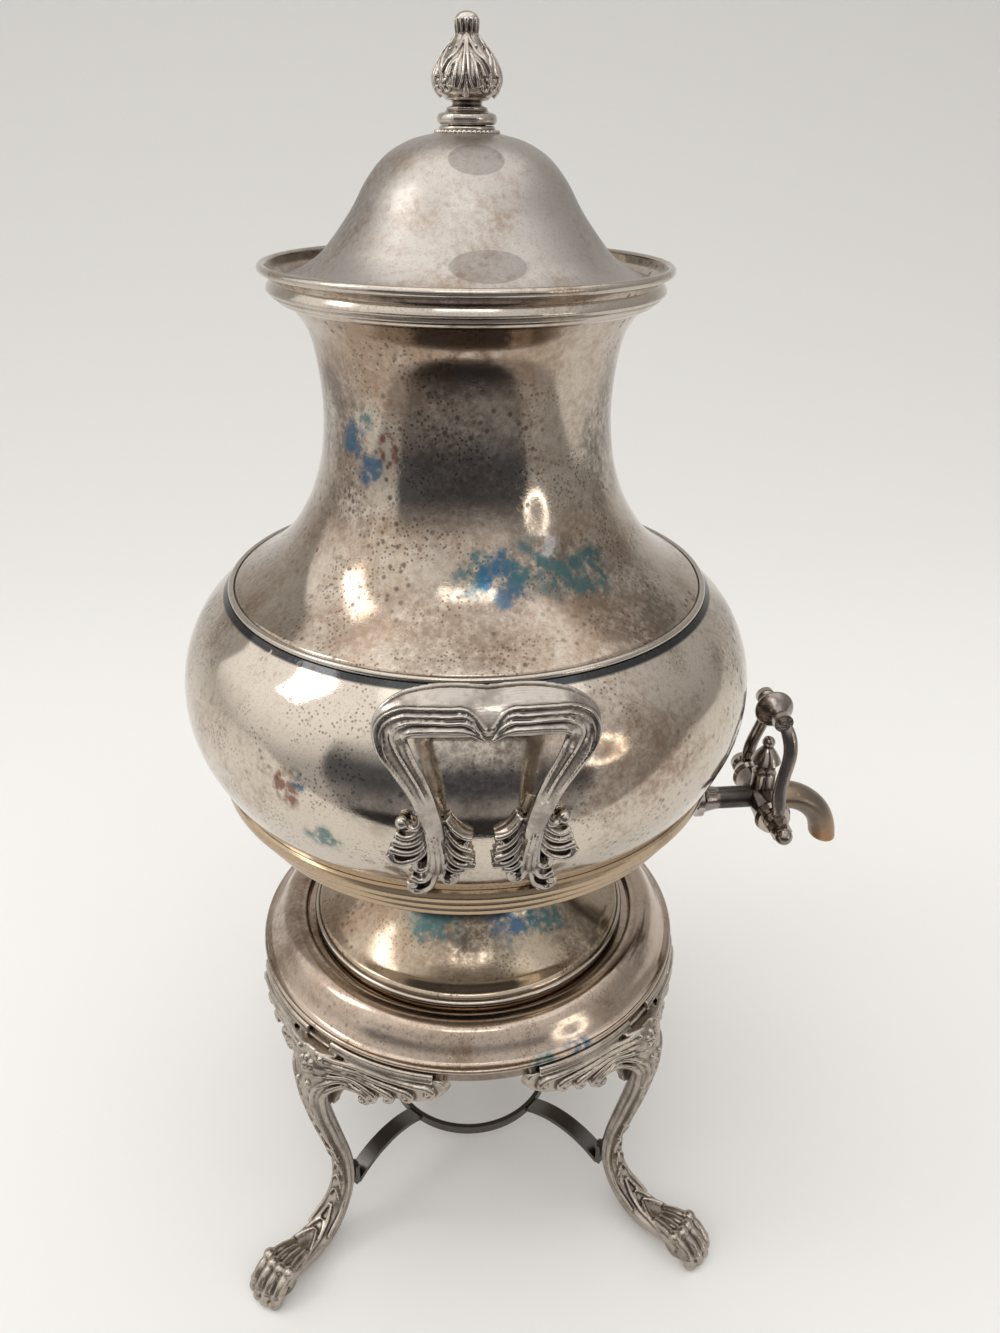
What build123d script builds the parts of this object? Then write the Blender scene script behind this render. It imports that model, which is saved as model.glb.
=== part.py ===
from build123d import *
import os
from math import cos, radians, sin

os.makedirs("parts", exist_ok=True)

# Samovar: a silver-plated hot-water urn on a four-legged burner stand, in millimetres.
# Origin: on the urn's axis, on the table top. +Z is up, the tap points to +X, handles lie on +Y and -Y.
# An outline is drawn as (radius, height) on the XZ plane and spun about Z.
# A height is measured from the piece below it, so what stands higher moves with it.

# Clearances
solder_gap = 0.1  # between pieces of one body that are soldered, riveted or screwed together
rest_gap = 0.05  # between flat faces where one body stands on another
lift_gap = 0.3  # between curved faces of bodies that come apart
turn_gap = 0.05  # radial, between the tap's plug and its barrel
stem_gap = 0.05  # radial, between a stem or screw and its hole

# Sheet and wire thicknesses
body_wall = 1.3
stand_wall = 1.4
lid_wall = 1.1

# Burner stand: spun top
stand_r = 98.5  # outside of the upright band
band_low_h = 130.0
band_height = 7.2
band_top_h = band_low_h + band_height
seat_rise = 7.8
seat_h = band_top_h + seat_rise  # floor of the channel that the urn's foot stands in
seat_r = 78.0
stand_bore_r = 64.0
stand_lip = 5.0  # turned-down edge of the opening
crest_r = 84.0
crest_rise = 5.2
crest_h = seat_h + crest_rise
stand_bead_r = 1.3  # half-round wire on the band's upper edge

# Burner stand: cast legs
leg_count = 4
leg_first_az = 45.0
knee_r = 105.0
knee_h = 115.0
ankle_r = 92.5
ankle_h = 42.0
ankle_width = 11.0
ankle_depth = 8.0
paw_r = 140.0  # radius of the paw's centre
paw_width = 19.0
paw_height = 17.0
toe_count = 4
toe_r = 3.1
wing_half_angle = 34.0  # of the leaf that runs along the band to each side of a leg
wing_height = 25.0
wing_tip_height = 9.0
wing_thick = 3.4

# Burner ring and its struts
ring_r = 40.6  # bore for the spirit lamp
ring_wall = 2.2
ring_low_h = 24.5
ring_height = 4.6
strut_width = 8.0
strut_thick = 2.4
strut_arch = 5.0  # how far a strut bows up
strut_pad_r = 89.0  # flat on the inside of each leg
strut_pad_h = 30.0
strut_tab_height = 12.0
screw_h = 32.2
screw_r = 1.5
screw_length = 5.0
screw_head_r = 2.7
screw_head_height = 1.5

# Urn: bowl
pedestal_height = 43.0
bowl_bottom_h = seat_h + pedestal_height
bowl_bottom_r = 49.0
bowl_low_r = 97.0
bowl_low_h = bowl_bottom_h + 36.0
bowl_r = 118.7
bowl_widest_h = bowl_bottom_h + 86.0
bowl_top_r = 97.4
bowl_height = 130.0
bowl_top_h = bowl_bottom_h + bowl_height
bowl_lip = 4.0  # flat edge turned in under the shoulder

# Urn: shoulder, neck and flared brim
shoulder_r = 95.5
shoulder_h = bowl_top_h + 1.4
waist_r = 54.9
waist_rise = 71.6
waist_h = shoulder_h + waist_rise
throat_r = 68.8
throat_rise = 40.4
throat_h = waist_h + throat_rise
brim_r = 73.0
brim_rise = 6.0
brim_h = throat_h + brim_rise
shoulder_bead_r = 1.7
rim_bead_r = 1.6
rim_ring_height = 5.2
rim_ring_step = 2.4
rim_ring_gap = 0.5  # behind the ring, whose straight back bridges the flare

# Urn: moulding under the bowl and pedestal
moulding_top_h = bowl_bottom_h + 50.0
moulding_height = 18.5
moulding_low_h = moulding_top_h - moulding_height
moulding_beads = 3
moulding_crown = 2.2  # how far each bead stands out
moulding_wall = 1.2
moulding_gap = 0.6  # the moulding's straight back bridges the bowl's slight curve
pedestal_neck_r = 45.5
pedestal_neck_h = bowl_bottom_h - 7.5
pedestal_flange_r = 48.5
foot_r = 73.2
foot_band = 5.2
foot_bead_r = 1.6

# Urn: handles
handle_turn = -1.8  # degrees that the handles were soldered on round from square to the tap
handle_stand_off = 16.3  # from the bowl's widest circle out to the top bar's centre line
handle_reach = bowl_r + handle_stand_off
handle_half_width = 30.0
handle_foot_x = 15.6
handle_foot_h = bowl_bottom_h + 77.0
handle_height = 65.6
handle_top_h = handle_foot_h + handle_height
leaf_thick = 3.6
leaf_width = 27.0
leaf_height = 34.0
leaf_lobes = 9
leaf_lobe_crown = 1.6
handle_strap_width = 16.5

# Tap: body, spout, cap and escutcheon
tap_x = 142.0
tap_h = bowl_bottom_h + 9.0
shank_r = 5.3
shank_bore_r = 3.4
shank_end_x = 60.0
barrel_r = 7.6
barrel_half = 20.0
plug_r = 4.8
plug_taper = 0.6
boss_r = 5.6
boss_height = 14.0
boss_h = tap_h + boss_height
cap_r = 7.0
cap_ball_r = 3.0
cap_height = 16.5  # from the boss to the middle of the ball
cap_ball_h = boss_h + cap_height
cap_stem_r = 2.6
cap_stem_length = 5.0
outlet_x = tap_x + 9.5
outlet_r = 6.2
collar_x = 112.0  # the shank's collar, just outside the bowl
collar_r = 8.6
spout_bore_r = 4.2
spout_width = 16.0
spout_depth = 12.4
spout_tip_x = outlet_x + 25.0
spout_drop = 24.0
spout_tip_h = tap_h - spout_drop
shield_top_h = tap_h + 73.0
shield_thick = 1.8
shield_half_width = 25.0

# Tap: lever and its fixings
arm_side_gap = 0.4  # between the barrel's ends and the arms
arm_eye_r = 5.2
arm_eye_thick = 3.4
arm_width = 6.6
arm_thick = 3.8
lever_length = 48.5
grip_h = tap_h + lever_length
grip_r = 9.0
grip_half = 10.2
disc_r = 4.4
disc_thick = 3.0
rod_r = 1.5
rod_head_r = 2.5
stem_r = 2.4
stem_end = 34.0
nut_flats = 9.4
nut_thick = 4.4
washer_r = 5.0
washer_thick = 0.8
ball_nut_r = 4.0
knob_r = 5.4

# Lid and finial
lid_flange_h = throat_h - 8.9  # height on the neck's outside where the flange stands inside it
lid_height = 58.1
lid_top_h = lid_flange_h + lid_height
sleeve_top_h = lid_flange_h + 12.5  # where the sleeve is soldered inside the lid
sleeve_low_h = lid_flange_h - 13.5
finial_base_r = 9.6
finial_base_height = 4.2
finial_r = 11.8
finial_height = 30.8
finial_bulb_rise = 9.0
finial_neck_r = 5.4
finial_ball_r = 3.2
finial_stud_r = 2.0
finial_stud_length = 10.6  # below the lid's top
finial_nut_flats = 7.0
finial_nut_thick = 3.0


def normal(edge, at):
    """Left-hand normal of an edge, in the plane it is drawn on."""
    along = edge % at
    return Vector(-along.Y, along.X)


def close_wall(edges, wall, steps=20):
    """Closes a chain of edges into the section of a sheet: the same chain one wall to its left,
    mitred at the corners, and the two cut ends. A negative wall lies to the right."""
    first, last = edges[0], edges[-1]
    befores = [first] + edges
    afters = edges + [last]
    corners = []
    for i, (before, after) in enumerate(zip(befores, afters)):
        incoming = normal(before, 0 if i == 0 else 1)
        outgoing = normal(after, 1 if i == len(edges) else 0)
        mitre = (incoming + outgoing).normalized()
        corner = after @ 1 if i == len(edges) else after @ 0
        corners.append(corner + mitre * (wall / mitre.dot(incoming)))
    for edge, start, stop in zip(edges, corners, corners[1:]):
        if edge.geom_type == GeomType.LINE:
            Line(start, stop)
        else:
            between = [edge @ (k / steps) + normal(edge, k / steps) * wall for k in range(1, steps)]
            Spline(start, *between, stop, tangents=[edge % 0, edge % 1])
    Line(first @ 0, corners[0])
    Line(last @ 1, corners[-1])


def spin_sheet(draw, wall):
    """A spun sheet-metal piece: the chain of edges that draw() makes, given a wall, turned about Z."""
    with BuildPart() as sheet:
        with BuildSketch(Plane.XZ):
            with BuildLine():
                close_wall(draw(), wall)
            make_face()
        revolve(axis=Axis.Z)
    return sheet


def spin_outline(draw):
    """A ring or knob turned about Z from the closed outline that draw() makes."""
    with BuildPart() as turned:
        with BuildSketch(Plane.XZ):
            with BuildLine():
                draw()
            make_face()
        revolve(axis=Axis.Z)
    return turned


def half_round(inner_r, mid_h, bead_r):
    """Outline of half-round wire whose flat side lies against a cylinder."""
    low = (inner_r, mid_h - bead_r)
    high = (inner_r, mid_h + bead_r)
    ThreePointArc(low, (inner_r + bead_r, mid_h), high)
    Line(high, low)


def at_height(line, height):
    """Where along a steadily rising or falling line its height is reached."""
    low, high = 0.0, 1.0
    rising = (line @ 1).Y > (line @ 0).Y
    for n in range(40):
        middle = (low + high) / 2
        if ((line @ middle).Y < height) == rising:
            low = middle
        else:
            high = middle
    return low


def off_line(line, height, distance):
    """The point at a height along a line, moved square to the line by a distance to its right."""
    at = at_height(line, height)
    return line @ at - normal(line, at) * distance


def save(part, name):
    part.label = name
    export_step(part, f"parts/{name}.step")


# Profile lines that several pieces share, drawn once
def bowl_line():
    bottom = Line((0, bowl_bottom_h), (bowl_bottom_r, bowl_bottom_h))
    side = Spline(
        bottom @ 1,
        (bowl_low_r, bowl_low_h),
        (bowl_r, bowl_widest_h),
        (bowl_top_r + 7.6, bowl_top_h - 8.0),
        (bowl_top_r, bowl_top_h),
        tangents=[(1, 0.2), (-1, 0.75)],
    )
    lip = Line(side @ 1, (bowl_top_r - bowl_lip, bowl_top_h))
    return [bottom, side, lip]


def neck_line():
    lip = Line((brim_r, brim_h), (throat_r, throat_h))
    flare = throat_r - waist_r
    spread = shoulder_r - waist_r
    side = Spline(
        lip @ 1,
        (waist_r + flare * 0.252, waist_h + throat_rise * 0.681),
        (waist_r, waist_h),
        (waist_r + spread * 0.123, waist_h - waist_rise * 0.4385),
        (waist_r + spread * 0.458, waist_h - waist_rise * 0.768),
        (shoulder_r, shoulder_h),
        tangents=[lip % 1, (1, -0.35)],
    )
    return [lip, side]


with BuildLine(Plane.XY) as bowl_profile:
    bowl_side = bowl_line()[1]
with BuildLine(Plane.XY) as neck_profile:
    neck_side = neck_line()[1]


# Burner stand: the spun top, from the lip of its opening over the crest and down the band
def stand_line():
    lip = Line((stand_bore_r, seat_h - stand_lip), (stand_bore_r, seat_h - 1.5))
    bend = RadiusArc(lip @ 1, (stand_bore_r + 1.5, seat_h), 1.5)
    floor = Line(bend @ 1, (seat_r, seat_h))
    roll = Spline(
        floor @ 1,
        (crest_r, crest_h),
        (crest_r + 7.6, crest_h - 5.4),
        (stand_r - 2.0, band_top_h + 0.6),
        tangents=[(0.35, 1), (0.6, -1)],
    )
    edge = Line(roll @ 1, (stand_r, band_top_h))
    band = Line(edge @ 1, (stand_r, band_low_h))
    return [lip, bend, floor, roll, edge, band]


stand_top = spin_sheet(stand_line, -stand_wall)
save(stand_top.part, "stand_top")

stand_bead_h = band_top_h - stand_bead_r - 0.2
stand_rim_bead = spin_outline(lambda: half_round(stand_r + solder_gap, stand_bead_h, stand_bead_r))
save(stand_rim_bead.part, "stand_rim_bead")

# One leg, cast in a single piece and lying on the XZ plane: centre-line radius and height,
# width across and depth front to back. The knee swells under the band, the ankle is the
# thinnest place, and the shin runs out along the table into a paw.
leg_sections = [
    (knee_r - 4.5, band_low_h - 0.6, ankle_width + 13.0, ankle_depth - 1.0),
    (knee_r, knee_h, ankle_width + 8.0, ankle_depth + 3.0),
    (knee_r, knee_h - 16.0, ankle_width + 3.0, ankle_depth + 2.0),
    (knee_r - 6.0, knee_h - 42.0, ankle_width, ankle_depth + 0.5),
    (ankle_r, ankle_h, ankle_width, ankle_depth),
    (ankle_r + 3.5, ankle_h - 20.0, ankle_width + 0.5, ankle_depth + 1.0),
    (ankle_r + 15.0, ankle_h - 32.0, ankle_width + 3.0, ankle_depth + 2.0),
    (paw_r - 17.0, paw_height / 2 - 0.5, ankle_width + 5.0, ankle_depth + 2.5),
    (paw_r - 3.0, paw_height / 2 - 1.0, paw_width - 1.0, paw_height - 3.0),
]
with BuildLine(Plane.XY) as leg_profile:
    spine = Spline(*[(r, h) for r, h, width, depth in leg_sections])
spine_steps = [spine.param_at_point((r, h)) for r, h, width, depth in leg_sections]

with BuildPart() as leg_blank:
    for (r, h, width, depth), step in zip(leg_sections, spine_steps):
        run = spine % step
        across = Plane(origin=(r, 0, h), x_dir=(0, 1, 0), z_dir=(run.X, 0, run.Y))
        with BuildSketch(across):
            Ellipse(width / 2, depth / 2)
    loft()
    # the toes, each a round-ended knuckle fanned out from the paw
    for i in range(toe_count):
        side_step = (i - (toe_count - 1) / 2) * (paw_width - 2 * toe_r) / (toe_count - 1)
        reach = paw_r + 2.5 - abs(side_step) * 0.35
        with Locations((reach, side_step, paw_height * 0.52), (reach + 4.4, side_step * 1.05, toe_r + 0.1)):
            Sphere(toe_r)
        knuckle_h = paw_height * 0.52
        with BuildSketch(Plane((reach, side_step, knuckle_h), z_dir=(4.4, 0, toe_r - knuckle_h))):
            Circle(toe_r)
        extrude(amount=5.0)

    # the pad that the paw rests on
    with BuildSketch(Plane.XY):
        with Locations((paw_r - 4.0, 0)):
            Ellipse(paw_width * 0.42, paw_width * 0.36)
    extrude(amount=paw_height * 0.4)

# The leaf's wings follow the band: a curved strip cut to a scalloped outline
wing_top_h = band_low_h - solder_gap
wing_reach = stand_r * sin(radians(wing_half_angle))


def wing_outline():
    for way in (1, -1):
        tip = (way * wing_reach, wing_top_h)
        tip_low = (way * wing_reach, wing_top_h - wing_tip_height)
        scroll = (way * wing_reach * 0.62, wing_top_h - wing_tip_height - 5.0)
        curl = (way * wing_reach * 0.34, wing_top_h - wing_height * 0.62)
        root = (way * ankle_width * 0.5, wing_top_h - wing_height - 12.0)
        Line((0, wing_top_h), tip)
        ThreePointArc(tip, (way * (wing_reach + 2.0), wing_top_h - wing_tip_height / 2), tip_low)
        ThreePointArc(tip_low, (way * wing_reach * 0.81, scroll[1] - 0.5), scroll)
        ThreePointArc(scroll, (way * wing_reach * 0.48, curl[1] - 3.5), curl)
        ThreePointArc(curl, (way * wing_reach * 0.2, wing_top_h - wing_height), root)
        Line(root, (0, root[1]))


with BuildPart() as leg_wings:
    with BuildSketch(Plane.YZ.offset(stand_r * 0.6)):
        with BuildLine():
            wing_outline()
        make_face()
    extrude(amount=stand_r * 0.6)
    with BuildSketch(Plane.XY.offset(wing_top_h - wing_height - 20), mode=Mode.PRIVATE) as strip:
        Circle(stand_r + 1.2)
        Circle(stand_r + 1.2 - wing_thick, mode=Mode.SUBTRACT)
    extrude(strip.sketch, amount=wing_height + 21, mode=Mode.INTERSECT)

pad_hole_r = screw_r + stem_gap
with BuildPart() as leg_master:
    add(leg_blank.part)
    add(leg_wings.part)
    # flat pad and screw hole for the strut, then the flat underside of the paw
    with BuildSketch(Plane.YZ.offset(strut_pad_r - 12)):
        with Locations((0, strut_pad_h)):
            Rectangle(ankle_width + 6, strut_tab_height + 2)
    extrude(amount=12, mode=Mode.SUBTRACT)
    with BuildSketch(Plane.YZ.offset(strut_pad_r - 1)):
        with Locations((0, screw_h)):
            Circle(pad_hole_r)
    extrude(amount=screw_length + 1.4, mode=Mode.SUBTRACT)
    split(bisect_by=Plane.XY, keep=Keep.TOP)
    split(bisect_by=Plane.XY.offset(wing_top_h), keep=Keep.BOTTOM)

# The burner's struts: flat bars bowed up between the ring and the legs, with a tab at the leg
ring_outer_r = ring_r + ring_wall
strut_h = ring_low_h + ring_height / 2
with BuildPart() as strut_master:
    with BuildSketch(Plane.XZ.offset(-strut_width / 2)):
        with BuildLine():
            start = ring_outer_r + solder_gap
            stop = strut_pad_r - solder_gap
            low_h = strut_pad_h - strut_tab_height / 2
            top_h = strut_h + strut_thick / 2
            heel = (stop - strut_thick / 2, low_h + strut_thick / 2)
            crest = ((start + stop) / 2, top_h + strut_arch)
            bow = ThreePointArc((start - ring_wall / 2, top_h), crest, heel)
            close_wall([bow], -strut_thick)
        make_face()
        with Locations((stop - strut_thick / 2, strut_pad_h)):
            Rectangle(strut_thick, strut_tab_height)
    extrude(amount=strut_width)
    with BuildSketch(Plane.YZ.offset(stop + 1)):
        with Locations((0, screw_h)):
            Circle(pad_hole_r)
    extrude(amount=-strut_thick - 2, mode=Mode.SUBTRACT)
    with BuildSketch(Plane.XY.offset(ring_low_h - 10)):
        Circle(ring_outer_r + solder_gap)
    extrude(amount=30, mode=Mode.SUBTRACT)

with BuildPart() as screw_master:
    head_x = strut_pad_r - solder_gap - strut_thick - solder_gap
    with BuildSketch(Plane.YZ.offset(head_x)):
        with Locations((0, screw_h)):
            Circle(screw_r)
    extrude(amount=screw_length + strut_thick)
    with BuildSketch(Plane.YZ.offset(head_x)):
        with Locations((0, screw_h)):
            Circle(screw_head_r)
    extrude(amount=-screw_head_height)

for n in range(leg_count):
    azimuth = leg_first_az + n * 360 / leg_count
    with BuildPart() as leg:
        add(leg_master.part, rotation=(0, 0, azimuth))
    save(leg.part, f"leg_{n + 1}")
    with BuildPart() as strut:
        add(strut_master.part, rotation=(0, 0, azimuth))
    save(strut.part, f"burner_strut_{n + 1}")

with BuildPart() as strut_screws:
    with PolarLocations(0, leg_count, start_angle=leg_first_az):
        add(screw_master.part)
save(strut_screws.part, "strut_screws")

with BuildPart() as burner_ring:
    with BuildSketch(Plane.XY.offset(ring_low_h)):
        Circle(ring_outer_r)
        Circle(ring_r, mode=Mode.SUBTRACT)
    extrude(amount=ring_height)
save(burner_ring.part, "burner_ring")


# Pedestal: a flanged neck that flares to a foot standing in the stand's channel
def pedestal_line():
    top_h = bowl_bottom_h - solder_gap
    foot_low_h = seat_h + rest_gap
    band_top = foot_low_h + foot_band
    flare_width = foot_r - pedestal_neck_r
    flange = Line((pedestal_flange_r - 7.0, top_h), (pedestal_flange_r, top_h))
    flare = Spline(
        flange @ 1,
        (pedestal_neck_r, pedestal_neck_h),
        (pedestal_neck_r + flare_width * 0.433, band_top + (pedestal_neck_h - band_top) * 0.372),
        (foot_r - 1.2, band_top + 1.4),
        tangents=[(-0.1, -1), (1, -0.45)],
    )
    edge = Line(flare @ 1, (foot_r, band_top))
    band = Line(edge @ 1, (foot_r, foot_low_h))
    return [flange, flare, edge, band]


pedestal = spin_sheet(pedestal_line, -body_wall)
save(pedestal.part, "pedestal")

foot_bead_h = seat_h + rest_gap + foot_band - foot_bead_r - 0.4
pedestal_bead = spin_outline(lambda: half_round(foot_r + solder_gap, foot_bead_h, foot_bead_r))
save(pedestal_bead.part, "pedestal_bead")

# Bowl: one spun shell from its flat bottom to the lip under the shoulder, holed for the tap
bowl_shell = spin_sheet(bowl_line, body_wall)
with BuildPart() as bowl:
    add(bowl_shell.part)
    with BuildSketch(Plane.YZ.offset(bowl_bottom_r * 0.6)):
        with Locations((0, tap_h)):
            Circle(shank_r + solder_gap)
    extrude(amount=bowl_r, mode=Mode.SUBTRACT)
save(bowl.part, "bowl")


# Moulding: stepped beads on the bowl's lower side, following its slope
def moulding_outline():
    first = off_line(bowl_side, moulding_top_h, moulding_gap)
    last = off_line(bowl_side, moulding_low_h, moulding_gap)
    step = (last - first) / moulding_beads
    out = Vector(-step.Y, step.X).normalized()
    Line(first, first + out * moulding_wall)
    for n in range(moulding_beads):
        start = first + step * n + out * moulding_wall
        stop = start + step
        ThreePointArc(start, (start + stop) / 2 + out * moulding_crown, stop)
    Line(last + out * moulding_wall, last)
    Line(last, first)


bowl_moulding = spin_outline(moulding_outline)
save(bowl_moulding.part, "bowl_moulding")

# Shoulder, neck and brim in one spun shell, and the wires that edge it
neck = spin_sheet(neck_line, -body_wall)
save(neck.part, "neck")

shoulder_bead = spin_outline(
    lambda: half_round(shoulder_r + solder_gap, bowl_top_h + solder_gap + shoulder_bead_r, shoulder_bead_r)
)
save(shoulder_bead.part, "shoulder_bead")


rim_bead_h = brim_h + rim_bead_r * 0.4


def rim_bead_outline():
    """Wire rolled over the brim's edge: round, and flat where it meets the sheet's cut end."""
    inner_r = brim_r + solder_gap
    flat = Line((inner_r, rim_bead_h - rim_bead_r), (inner_r, rim_bead_h + rim_bead_r))
    ThreePointArc(flat @ 1, (inner_r + rim_bead_r * 1.3, rim_bead_h), flat @ 0)


rim_bead = spin_outline(rim_bead_outline)
save(rim_bead.part, "rim_bead")


def rim_moulding_outline():
    """Two-step ring under the brim, its back on the neck's flare."""
    top = Vector(throat_r + rim_ring_gap, throat_h)
    low = off_line(neck_side, throat_h - rim_ring_height, -rim_ring_gap)
    mid_h = (top.Y + low.Y) / 2
    back = Line(low, top)
    ledge = Line(back @ 1, (top.X + rim_ring_step, top.Y))
    upper = ThreePointArc(
        ledge @ 1, (top.X + rim_ring_step * 0.9, (top.Y + mid_h) / 2), (top.X + rim_ring_step * 0.3, mid_h)
    )
    lower = ThreePointArc(upper @ 1, (top.X - rim_ring_step * 0.1, (mid_h + low.Y) / 2), (low.X + 0.6, low.Y))
    Line(lower @ 1, low)


rim_moulding = spin_outline(rim_moulding_outline)
save(rim_moulding.part, "rim_moulding")


# Handles: a strap bowed out from two leaf feet that lie on the bowl
def strap(points, sizes, face, end_way=None):
    """A bar lofted through ellipses along a smooth line; each size is (width, depth), the depth
    lying along the face direction."""
    with BuildLine():
        ends = None if end_way is None else [points[1] - points[0], end_way]
        spine = Spline(*points, tangents=ends)
    with BuildPart() as bar:
        for point, (width, depth) in zip(points, sizes):
            along = spine % spine.param_at_point(point)
            with BuildSketch(Plane(origin=point, x_dir=along.cross(face), z_dir=along)):
                Ellipse(width / 2, depth / 2)
        loft()
    return bar


foot = off_line(bowl_side, handle_foot_h, leaf_thick * 0.55)
foot_mid = off_line(bowl_side, handle_foot_h + 14.0, leaf_thick * 0.55 + handle_stand_off * 0.227)
strap_points = [
    Vector(handle_foot_x, -foot.X, foot.Y),
    Vector(handle_foot_x + 0.4, -foot_mid.X, foot_mid.Y),
    Vector(handle_half_width - 9.0, -bowl_r - handle_stand_off * 0.663, handle_top_h - 30.5),
    Vector(handle_half_width - 1.0, -handle_reach + 1.2, handle_top_h - 11.0),
    Vector(handle_half_width - 5.0, -handle_reach, handle_top_h - 1.5),
    Vector(handle_half_width * 0.4, -handle_reach, handle_top_h),
    Vector(0, -handle_reach, handle_top_h - 0.5),
]
strap_sizes = [(8.0, 3.6), (8.5, 5.0), (9.0, 6.0), (10.5, 6.5), (13.5, 7.0), (handle_strap_width, 7.5)]
strap_sizes.append((handle_strap_width - 1.0, 7.5))
half_strap = strap(strap_points, strap_sizes, Vector(0, -1, 1), Vector(-1, 0, 0))


def leaf_outline(mid_x, mid_h):
    """Lobed outline of an acanthus foot: lobes round an oval, pointed top where the strap joins."""
    rim = []
    for k in range(leaf_lobes):
        turn = radians(90 + 180 / leaf_lobes + k * 360 / leaf_lobes)
        rim.append(Vector(mid_x + leaf_width / 2 * cos(turn), mid_h + leaf_height / 2 * sin(turn)))
    middle = Vector(mid_x, mid_h)
    for here, there in zip(rim, rim[1:] + rim[:1]):
        crown = (here + there) / 2
        ThreePointArc(here, crown + (crown - middle).normalized() * leaf_lobe_crown, there)


with BuildPart() as leaf_skin:
    with BuildSketch(Plane.XZ):
        with BuildLine():
            reach = leaf_height / 2 + leaf_lobe_crown + 2
            heights = [handle_foot_h + reach * (k / 4 - 1) for k in range(9)]
            heights = [height for height in heights if height > moulding_top_h + 1]
            inner = Spline(*[off_line(bowl_side, height, solder_gap) for height in heights])
            outer = Spline(*[off_line(bowl_side, height, leaf_thick) for height in heights])
            Line(inner @ 0, outer @ 0)
            Line(inner @ 1, outer @ 1)
        make_face()
    revolve(axis=Axis.Z)

with BuildPart() as handle_master:
    add(leaf_skin.part)
    with BuildSketch(Plane.XZ.offset(bowl_r * 0.5), mode=Mode.PRIVATE) as leaves:
        for way in (1, -1):
            with BuildLine():
                leaf_outline(way * (handle_foot_x + 1.7), handle_foot_h + 1.0)
            make_face()
    extrude(leaves.sketch, amount=bowl_r, mode=Mode.INTERSECT)
    add(half_strap.part)
    add(mirror(half_strap.part, about=Plane.YZ, mode=Mode.PRIVATE))

for name, turn in (("handle_right", handle_turn), ("handle_left", handle_turn + 180)):
    with BuildPart() as handle:
        add(handle_master.part, rotation=(0, 0, turn))
    save(handle.part, name)

# Tap: a barrel lying along Y, a long shank from the bowl, a boss on top and an outlet in front
tap_axis = Axis((tap_x, 0, tap_h), (0, 1, 0))
tap_plane = Plane(origin=(tap_x, 0, tap_h), x_dir=(0, 1, 0), z_dir=(0, 0, 1))
plug_front_r = plug_r - plug_taper
plug_rear_r = plug_r + plug_taper


def turned_on_tap(*outline):
    """A solid turned about the barrel's axis from an outline of (y, radius) points."""
    with BuildPart() as turned:
        with BuildSketch(tap_plane):
            Polygon(*outline, align=None)
        revolve(axis=tap_axis)
    return turned


def rod_along_x(start_x, stop_x, radius, mode=Mode.ADD):
    """A round bar along the tap's X axis, added to or cut from the part being built."""
    with BuildSketch(Plane.YZ.offset(start_x)) as end:
        with Locations((0, tap_h)):
            Circle(radius)
    extrude(end.sketch, amount=stop_x - start_x, mode=mode)


barrel = turned_on_tap(
    (-barrel_half, 0),
    (-barrel_half, barrel_r),
    (-barrel_half + 2.5, barrel_r + 1.0),
    (-barrel_half + 5, barrel_r),
    (-4, barrel_r - 0.6),
    (4, barrel_r - 0.6),
    (barrel_half - 5, barrel_r - 0.4),
    (barrel_half - 2.5, barrel_r + 0.6),
    (barrel_half, barrel_r - 0.4),
    (barrel_half, 0),
)
barrel_bore = turned_on_tap(
    (-barrel_half - 1, 0),
    (-barrel_half - 1, plug_front_r + turn_gap),
    (barrel_half + 1, plug_rear_r + turn_gap),
    (barrel_half + 1, 0),
)

with BuildPart() as tap_body:
    add(barrel.part)
    rod_along_x(shank_end_x, tap_x, shank_r)
    with BuildSketch(Plane.XZ):
        with BuildLine():
            flare = Spline(
                (collar_x, tap_h + collar_r),
                (collar_x + 4, tap_h + shank_r + 0.8),
                (collar_x + 9, tap_h + shank_r),
                tangents=[(0.2, -1), (1, 0)],
            )
            inner_x = collar_x - 3
            outer_x = collar_x + 9
            Polyline(flare @ 1, (outer_x, tap_h), (inner_x, tap_h), (inner_x, tap_h + collar_r), flare @ 0)
        make_face()
    revolve(axis=Axis((0, 0, tap_h), (1, 0, 0)))
    rod_along_x(tap_x, outlet_x, outlet_r)
    with BuildSketch(Plane.XY.offset(tap_h)):
        with Locations((tap_x, 0)):
            Circle(boss_r)
    extrude(amount=boss_h - tap_h)
    add(barrel_bore.part, mode=Mode.SUBTRACT)
    rod_along_x(shank_end_x - 1, outlet_x + 1, shank_bore_r, Mode.SUBTRACT)
    with BuildSketch(Plane.XY.offset(boss_h)):
        with Locations((tap_x, 0)):
            Circle(cap_stem_r + stem_gap)
    extrude(amount=-cap_stem_length - 0.2, mode=Mode.SUBTRACT)
save(tap_body.part, "tap_body")

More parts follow.
